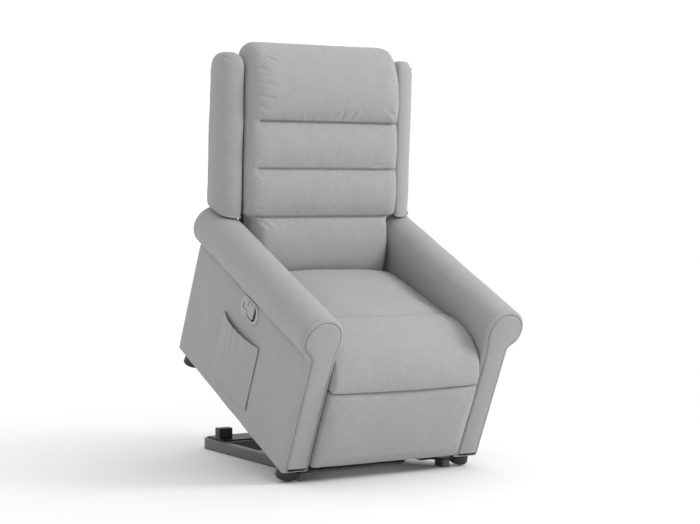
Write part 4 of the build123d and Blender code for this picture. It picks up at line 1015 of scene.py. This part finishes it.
# ------------------------------------------------------------------ wings
def build_wing(side):
    x0, x1, n0, n1 = 0.2778, 0.3600, 0.0195, 0.1190
    u0, u1 = 0.2135, 0.7440 if side > 0 else 0.7470
    cx, cn = (x0 + x1) / 2, (n0 + n1) / 2
    hx, hn = (x1 - x0) / 2, (n1 - n0) / 2

    def outline(ins, k):
        pts = []
        for sx, sn, a0, rr in ((1, -1, 270, 0.062), (1, 1, 0, 0.024), (-1, 1, 90, 0.012), (-1, -1, 180, 0.014)):
            ax, an = cx + sx * (hx - rr), cn + sn * (hn - rr)
            pts += [(ax + rr * math.cos(math.radians(t)), an + rr * math.sin(math.radians(t))) for t in np.linspace(a0, a0 + 90, 9)]
        P = resample(pts, 0.006)
        c = np.array([cx, cn])
        v = P - c
        return c + v * k
    rt = 0.052
    rings = [(outline(0.0, 1.0), u) for u in np.arange(u0, u1 - rt, 0.006)]
    for a in np.linspace(0, 1, 14)[:-1] * math.pi / 2:
        rings.append((outline(0.0, max(math.cos(a), 0.0) ** 0.62), u1 - rt + rt * math.sin(a)))
    rings.append((outline(0.0, 0.06), u1))
    # deeper toward its foot
    V = [np.stack([q[:, 0], n0 + (q[:, 1] - n0) * (1 + 0.120 * max(0.0, (0.70 - u) / 0.45)), np.full(len(q), u)], 1) for q, u in rings]
    verts, faces = loft(V)
    # the foot of the wing follows the arm's top, level in the chair's own frame
    b = back_to_body(verts)
    low = verts[:, 2] < 0.33
    floor_z = 0.5155
    lift = np.maximum(0, floor_z - b[:, 2])
    d_up = np.array([0, SL, CL])
    o = new_mesh("wing_%s_upholstery" % ("left" if side < 0 else "right"), b, faces)
    remesh(o, 0.0055)
    laplacian(o, 3)
    p = coords(o)
    t = np.clip((floor_z + 0.036 - p[:, 2]) / 0.036, 0, 1)
    shrink = 1 - 0.08 * (1 - np.sqrt(1 - t * t))
    p[:, 0] = cx + (p[:, 0] - cx) * shrink
    q = body_to_back(p)
    q[:, 1] = np.where(q[:, 1] < cn, cn + (q[:, 1] - cn) * (1 - (1 - shrink) * 0.6), q[:, 1])
    p = back_to_body(q)
    p[:, 2] = np.maximum(p[:, 2], floor_z)
    set_coords(o, p)
    laplacian(o, 2)
    p = coords(o)
    q = body_to_back(p)
    pins = np.zeros(len(p))
    pins[(q[:, 0] < x0 + 0.003)] = 1
    pins[(q[:, 1] > 0.102)] = 1
    pins[(p[:, 2] < floor_z + 0.004)] = 1
    inflate(o, pins, pressure=2.6, frames=14, cap=0.0035, shrink=0.0, stiff=10.0, bend=0.3)
    subdivide(o, 1)
    noise = hash_noise(41 if side < 0 else 42)
    p = coords(o)
    nrm = normals(o)
    q = body_to_back(p)
    p += nrm * ((0.0010 * noise(q, 0.18) + 0.0004 * noise(q, 0.06)) * (q[:, 0] > x0 + 0.004))[:, None]
    set_coords(o, p)
    q = body_to_back(coords(o))
    q[:, 0] = np.clip(q[:, 0], x0, 0.3650)
    q[:, 1] = np.minimum(q[:, 1], 0.134)
    b = back_to_body(q)
    b[:, 2] = np.maximum(b[:, 2], floor_z - 0.0005)
    set_coords(o, b)

    def pt(x, n, u):
        return back_to_body(np.array([[x, n, u]]))[0]
    # pleats over the crown, and the seam down the outer side
    for a, b2, dep in (((0.358, 0.062, 0.708), (0.332, 0.026, 0.704), 0.0030), ((0.350, 0.060, 0.728), (0.326, 0.032, 0.728), 0.0024),
                       ((0.326, 0.052, 0.741), (0.308, 0.028, 0.733), 0.0016), ((0.360, 0.062, 0.640), (0.338, 0.026, 0.630), 0.0014)):
        m = (np.array(a) + np.array(b2)) / 2 + np.array([0.004, -0.006, 0.003])
        wrinkle(o, np.array([pt(*a), pt(*m), pt(*b2)]), dep, 0.0055, ridge=0.6)
    line = np.array([pt(x1 + 0.002, 0.100, u) for u in np.linspace(0.30, 0.700, 50)])
    groove(o, [surface_snap(o, line, (-1, 0, 0))], depth=0.0018, width=0.0022, puff=0.0010, puff_width=0.010)
    if side < 0:
        p = coords(o)
        p[:, 0] *= -1
        set_coords(o, p)
        o.data.flip_normals()
    return o


for s_ in (-1, 1):
    w_ = build_wing(s_)
    finish_soft(w_, "backrest", ["wing_left" if s_ < 0 else "wing_right"])


# ------------------------------------------------------------------ flat upholstered boards at the rear
def build_panel(name, outline2d, depth, place, puff, voxel=0.006, r=0.006):
    """A padded board: outline2d counter-clockwise in (a, b), thickness depth, place maps (a, b, t) to body points."""
    P = resample(outline2d, 0.006)
    rings = []
    for a in np.linspace(0, math.pi / 2, 5):
        rings.append((offset_in(P, r * (1 - math.sin(a))), 0.0 + r * (1 - math.cos(a))))
    rings.append((P, depth * 0.5))
    for a in np.linspace(0, math.pi / 2, 6):
        rings.append((offset_in(P, r * (1 - math.cos(a))), depth - r + r * math.sin(a)))
    V = [place(np.stack([q[:, 0], q[:, 1], np.full(len(q), t)], 1)) for q, t in rings]
    verts, faces = loft(V)
    o = new_mesh(name, verts, faces)
    remesh(o, voxel)
    laplacian(o, 2)
    subdivide(o, 1)
    return o


def rounded_rect(x0, x1, y0, y1, r):
    pts = []
    for cx_, cy_, a0 in ((x1 - r, y0 + r, 270), (x1 - r, y1 - r, 0), (x0 + r, y1 - r, 90), (x0 + r, y0 + r, 180)):
        pts += corner_arc(cx_, cy_, r, a0, a0 + 90, 7)
    return pts


def build_back_cover():
    # narrower between the arms, full width above them
    u_arm, u_low = 0.286, 0.074
    low, top = 0.2440, 0.2715
    pts = [(-low, u_low), (low, u_low), (low, u_arm), (low + 0.004, u_arm + 0.008), (top, u_arm + 0.012)]
    pts += corner_arc(top - 0.034, 0.748 - 0.034, 0.034, 0, 90, 9)
    pts += corner_arc(-top + 0.034, 0.748 - 0.034, 0.034, 90, 180, 9)
    pts += [(-top, u_arm + 0.012), (-low - 0.004, u_arm + 0.008), (-low, u_arm)]

    def place(p):
        return back_to_body(np.stack([p[:, 0], 0.1072 + p[:, 2], p[:, 1]], 1))
    o = build_panel("back_cover_upholstery", pts, 0.0165, place, 0.0)
    p = coords(o)
    nrm = normals(o)
    q = body_to_back(p)
    rear = q[:, 1] > 0.112
    hx = np.clip(1 - (q[:, 0] / 0.262) ** 2, 0, 1) ** 0.7
    hs = np.clip((q[:, 2] - u_low) / (0.748 - u_low), 0, 1)
    hu = (4 * hs * (1 - hs)) ** 0.6
    noise = hash_noise(51)
    q[:, 1] += rear * (0.0045 * hx * hu + 0.0008 * noise(q, 0.22) * hx)
    set_coords(o, back_to_body(q))
    line = [(x, u) for x, u in pts]
    c = np.array([0, 0.40])
    L = offset_in(resample(pts, 0.012), 0.013)
    L = np.vstack([L, L[:1]])
    pl = back_to_body(np.stack([L[:, 0], np.full(len(L), 0.1300), L[:, 1]], 1))
    d = back_to_body(np.array([[0, -1.0, 0]]))[0] - back_to_body(np.array([[0, 0.0, 0]]))[0]
    groove(o, [surface_snap(o, pl, d)], depth=0.0022, width=0.0024, puff=0.0012, puff_width=0.010)
    # faint drag folds from the corners and down from the top edge
    for a, b in (((-0.20, 0.70), (-0.12, 0.62)), ((0.20, 0.70), (0.13, 0.61)), ((-0.19, 0.31), (-0.12, 0.39)), ((0.19, 0.31), (0.12, 0.40)),
                 ((-0.05, 0.735), (-0.04, 0.66)), ((0.07, 0.735), (0.055, 0.67))):
        pts3 = back_to_body(np.array([(a[0], 0.130, a[1]), ((a[0] + b[0]) / 2, 0.130, (a[1] + b[1]) / 2 - 0.004), (b[0], 0.130, b[1])]))
        wrinkle(o, surface_snap(o, pts3, d), 0.0016, 0.008, ridge=0.5)
    return o


back_cover = build_back_cover()
finish_soft(back_cover, "backrest", ["back_cover"])


def build_rear_panel():
    pts = rounded_rect(-0.2555, 0.2555, 0.0465, 0.2995, 0.008)

    def place(p):
        return np.stack([-p[:, 0], 0.7445 + p[:, 2], p[:, 1]], 1)
    o = build_panel("rear_panel_upholstery", pts, 0.0115, place, 0.0, voxel=0.0045, r=0.004)
    p = coords(o)
    hx = np.clip(1 - (p[:, 0] / 0.25) ** 2, 0, 1) ** 0.6
    hz = np.clip(1 - ((p[:, 2] - 0.173) / 0.124) ** 2, 0, 1) ** 0.7
    noise = hash_noise(61)
    rear = p[:, 1] > 0.750
    p[:, 1] += rear * (0.0030 * hx * hz + 0.0006 * noise(p, 0.2) * hx)
    set_coords(o, p)
    L = offset_in(resample(pts, 0.012), 0.010)
    L = np.vstack([L, L[:1]])
    groove(o, [np.stack([L[:, 0], np.full(len(L), 0.7563), L[:, 1]], 1)], depth=0.0016, width=0.0022, puff=0.0008, puff_width=0.008)
    return o


rear_panel = build_rear_panel()
finish_soft(rear_panel, "chair", ["rear_panel"])


# ------------------------------------------------------------------ side pocket: a patch of cloth, open at its mouth
POCKET = np.array([(0.270, 0.267), (0.514, 0.266), (0.510, 0.036), (0.269, 0.051)])   # (y, z)


def build_pocket():
    nu, nv = 66, 62
    (y0, z0), (y1, z1), (y2, z2), (y3, z3) = POCKET
    V = np.zeros((nv, nu, 3))
    noise = hash_noise(71)
    for j in range(nv):
        t = j / (nv - 1)                   # 0 at the mouth, 1 at the foot
        for i in range(nu):
            s = i / (nu - 1)               # 0 at the front edge, 1 at the rear edge
            top = np.array([y0 + (y1 - y0) * s, z0 + (z1 - z0) * s])
            bot = np.array([y3 + (y2 - y3) * s, z3 + (z2 - z3) * s])
            # the mouth sags between its corners, most toward the rear
            top[1] -= 0.0115 * (math.sin(math.pi * s ** 1.25)) ** 0.8 if 0 < s < 1 else 0
            q = top + (bot - top) * t
            # bottom corners a little rounded
            belly = (max(math.sin(math.pi * s), 0) ** 0.75) * ((1 - t) ** 1.5) * 0.0105
            edge = 0.0022 * min(1, 12 * min(s, 1 - s, (1 - t) + 0.15))
            if s < 0.5:
                edge += 0.0030 * math.exp(-((s - 0.012) / 0.03) ** 2)
            x = 0.3506 + edge + belly
            V[j, i] = (x, q[0], q[1])
    P = V.reshape(-1, 3)
    s = np.tile(np.linspace(0, 1, nu), nv)
    t = np.repeat(np.linspace(0, 1, nv), nu)
    soft = np.sin(np.pi * s) ** 0.6 * (1 - t * 0.75)
    # loose upright folds in the empty pocket
    for c, w, dep, t1 in ((0.28, 0.035, 0.0022, 0.75), (0.38, 0.030, 0.0018, 0.60), (0.55, 0.040, 0.0024, 0.85), (0.66, 0.032, 0.0018, 0.55),
                          (0.80, 0.035, 0.0016, 0.70), (0.16, 0.03, 0.0012, 0.5)):
        path = c + 0.03 * np.sin(3.2 * t + 9 * c)
        P[:, 0] += dep * (np.exp(-((s - path) / w) ** 2) - 0.7 * np.exp(-((s - path - 1.8 * w) / w) ** 2)) * soft * np.clip(1 - t / t1, 0, 1) ** 0.5
    P[:, 0] += 0.0008 * noise(P, 0.09) * soft
    P[:, 0] = np.maximum(P[:, 0], 0.3505)
    # hem: a stitched line just under the mouth, the doubled edge a little thicker
    P[:, 0] += 0.0009 * (t < 0.055) - 0.0009 * np.exp(-((t - 0.065) / 0.010) ** 2)
    # the stitched sides and foot
    for dist in (np.abs(s - 0.022), np.abs(s - 0.978)):
        P[:, 0] -= 0.0008 * np.exp(-(dist / 0.008) ** 2)
    P[:, 0] -= 0.0008 * np.exp(-((t - 0.975) / 0.010) ** 2)
    P[:, 0] *= -1
    faces = []
    for j in range(nv - 1):
        for i in range(nu - 1):
            a = j * nu + i
            faces.append((a, a + 1, a + nu + 1, a + nu))
    o = new_mesh("side_pocket_cloth", P, faces)
    m = o.modifiers.new("solid", "SOLIDIFY")
    m.thickness = 0.0016
    m.offset = 0.0
    m.use_even_offset = True
    apply_modifiers(o)
    subdivide(o, 1)
    return o


pocket = build_pocket()
set_coords(pocket, to_world(coords(pocket)))
smooth_shade(pocket)
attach(pocket, "chair")
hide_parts("side_pocket")

# ------------------------------------------------------------------ camera, light, floor
cam_data = bpy.data.cameras.new("camera")
cam_data.sensor_fit = "HORIZONTAL"
cam_data.sensor_width = 36.0
cam_data.lens = 90.98
cam = bpy.data.objects.new("camera", cam_data)
bpy.context.scene.collection.objects.link(cam)
az, el, roll = math.radians(-31.291), math.radians(2.206), math.radians(-0.04)
back = Vector((math.sin(az) * math.cos(el), -math.cos(az) * math.cos(el), math.sin(el)))
right = Vector((math.cos(az), math.sin(az), 0.0))
up = back.cross(right)
rot = Matrix((right, up, back)).transposed()
cam.matrix_world = Matrix.Translation(Vector((-2.8404, -4.4820 + BY, 0.8486))) @ rot.to_4x4() @ Matrix.Rotation(roll, 4, "Z")
cam_data.clip_end = 50
bpy.context.scene.camera = cam

world = bpy.data.worlds.new("studio")
bpy.context.scene.world = world
world.use_nodes = True
wn, wl = world.node_tree.nodes, world.node_tree.links
wn["Background"].inputs["Color"].default_value = (1, 1, 1, 1)
# a studio that is brighter above and to the right, and dimmer low on the left
w_tc = wn.new("ShaderNodeTexCoord")
w_dot = wn.new("ShaderNodeVectorMath")
w_dot.operation = "DOT_PRODUCT"
wl.new(w_tc.outputs["Generated"], w_dot.inputs[0])
w_dot.inputs[1].default_value = (0.62, 0.50, 0.60)
w_map = wn.new("ShaderNodeMapRange")
w_map.inputs["From Min"].default_value, w_map.inputs["From Max"].default_value = -0.85, 0.35
w_map.inputs["To Min"].default_value, w_map.inputs["To Max"].default_value = 0.48, 1.04
wl.new(w_dot.outputs["Value"], w_map.inputs["Value"])
wl.new(w_map.outputs["Result"], wn["Background"].inputs["Strength"])

floor_me = bpy.data.meshes.new("floor")
floor_me.from_pydata([(-14, -14, 0), (14, -14, 0), (14, 14, 0), (-14, 14, 0)], [], [(0, 1, 2, 3)])
floor = bpy.data.objects.new("floor", floor_me)
bpy.context.scene.collection.objects.link(floor)
fm, fnt, fb = node_tree("floor_white")
fb.inputs["Base Color"].default_value = (0.86, 0.86, 0.86, 1)
f_tc = fnt.nodes.new("ShaderNodeTexCoord")
f_len = fnt.nodes.new("ShaderNodeVectorMath")
f_len.operation = "LENGTH"
fnt.links.new(f_tc.outputs["Object"], f_len.inputs[0])
f_map = fnt.nodes.new("ShaderNodeMapRange")
f_map.interpolation_type = "SMOOTHSTEP"
f_map.inputs["From Min"].default_value, f_map.inputs["From Max"].default_value = 0.35, 1.9
fnt.links.new(f_len.outputs["Value"], f_map.inputs["Value"])
f_em = fnt.nodes.new("ShaderNodeEmission")
f_em.inputs["Strength"].default_value = 1.0
f_mix = fnt.nodes.new("ShaderNodeMixShader")
fnt.links.new(f_map.outputs["Result"], f_mix.inputs[0])
fnt.links.new(fb.outputs["BSDF"], f_mix.inputs[1])
fnt.links.new(f_em.outputs["Emission"], f_mix.inputs[2])
fnt.links.new(f_mix.outputs["Shader"], fnt.nodes["Material Output"].inputs["Surface"])
fb.inputs["Roughness"].default_value = 0.9
fb.inputs["Specular IOR Level"].default_value = 0.1
floor_me.materials.append(fm)


def area_light(name, loc, target, size, energy, color=(1, 1, 1)):
    d = bpy.data.lights.new(name, "AREA")
    d.shape = "RECTANGLE"
    d.size, d.size_y = size
    d.energy = energy
    d.color = color
    o = bpy.data.objects.new(name, d)
    bpy.context.scene.collection.objects.link(o)
    o.location = loc
    o.rotation_euler = (Vector(target) - Vector(loc)).to_track_quat("-Z", "Y").to_euler()
    return o


area_light("key", (2.9, -2.9, 2.9), (0, 0, 0.7), (1.7, 1.7), 105)
bpy.context.scene.view_settings.view_transform = "Standard"

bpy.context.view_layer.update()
import json
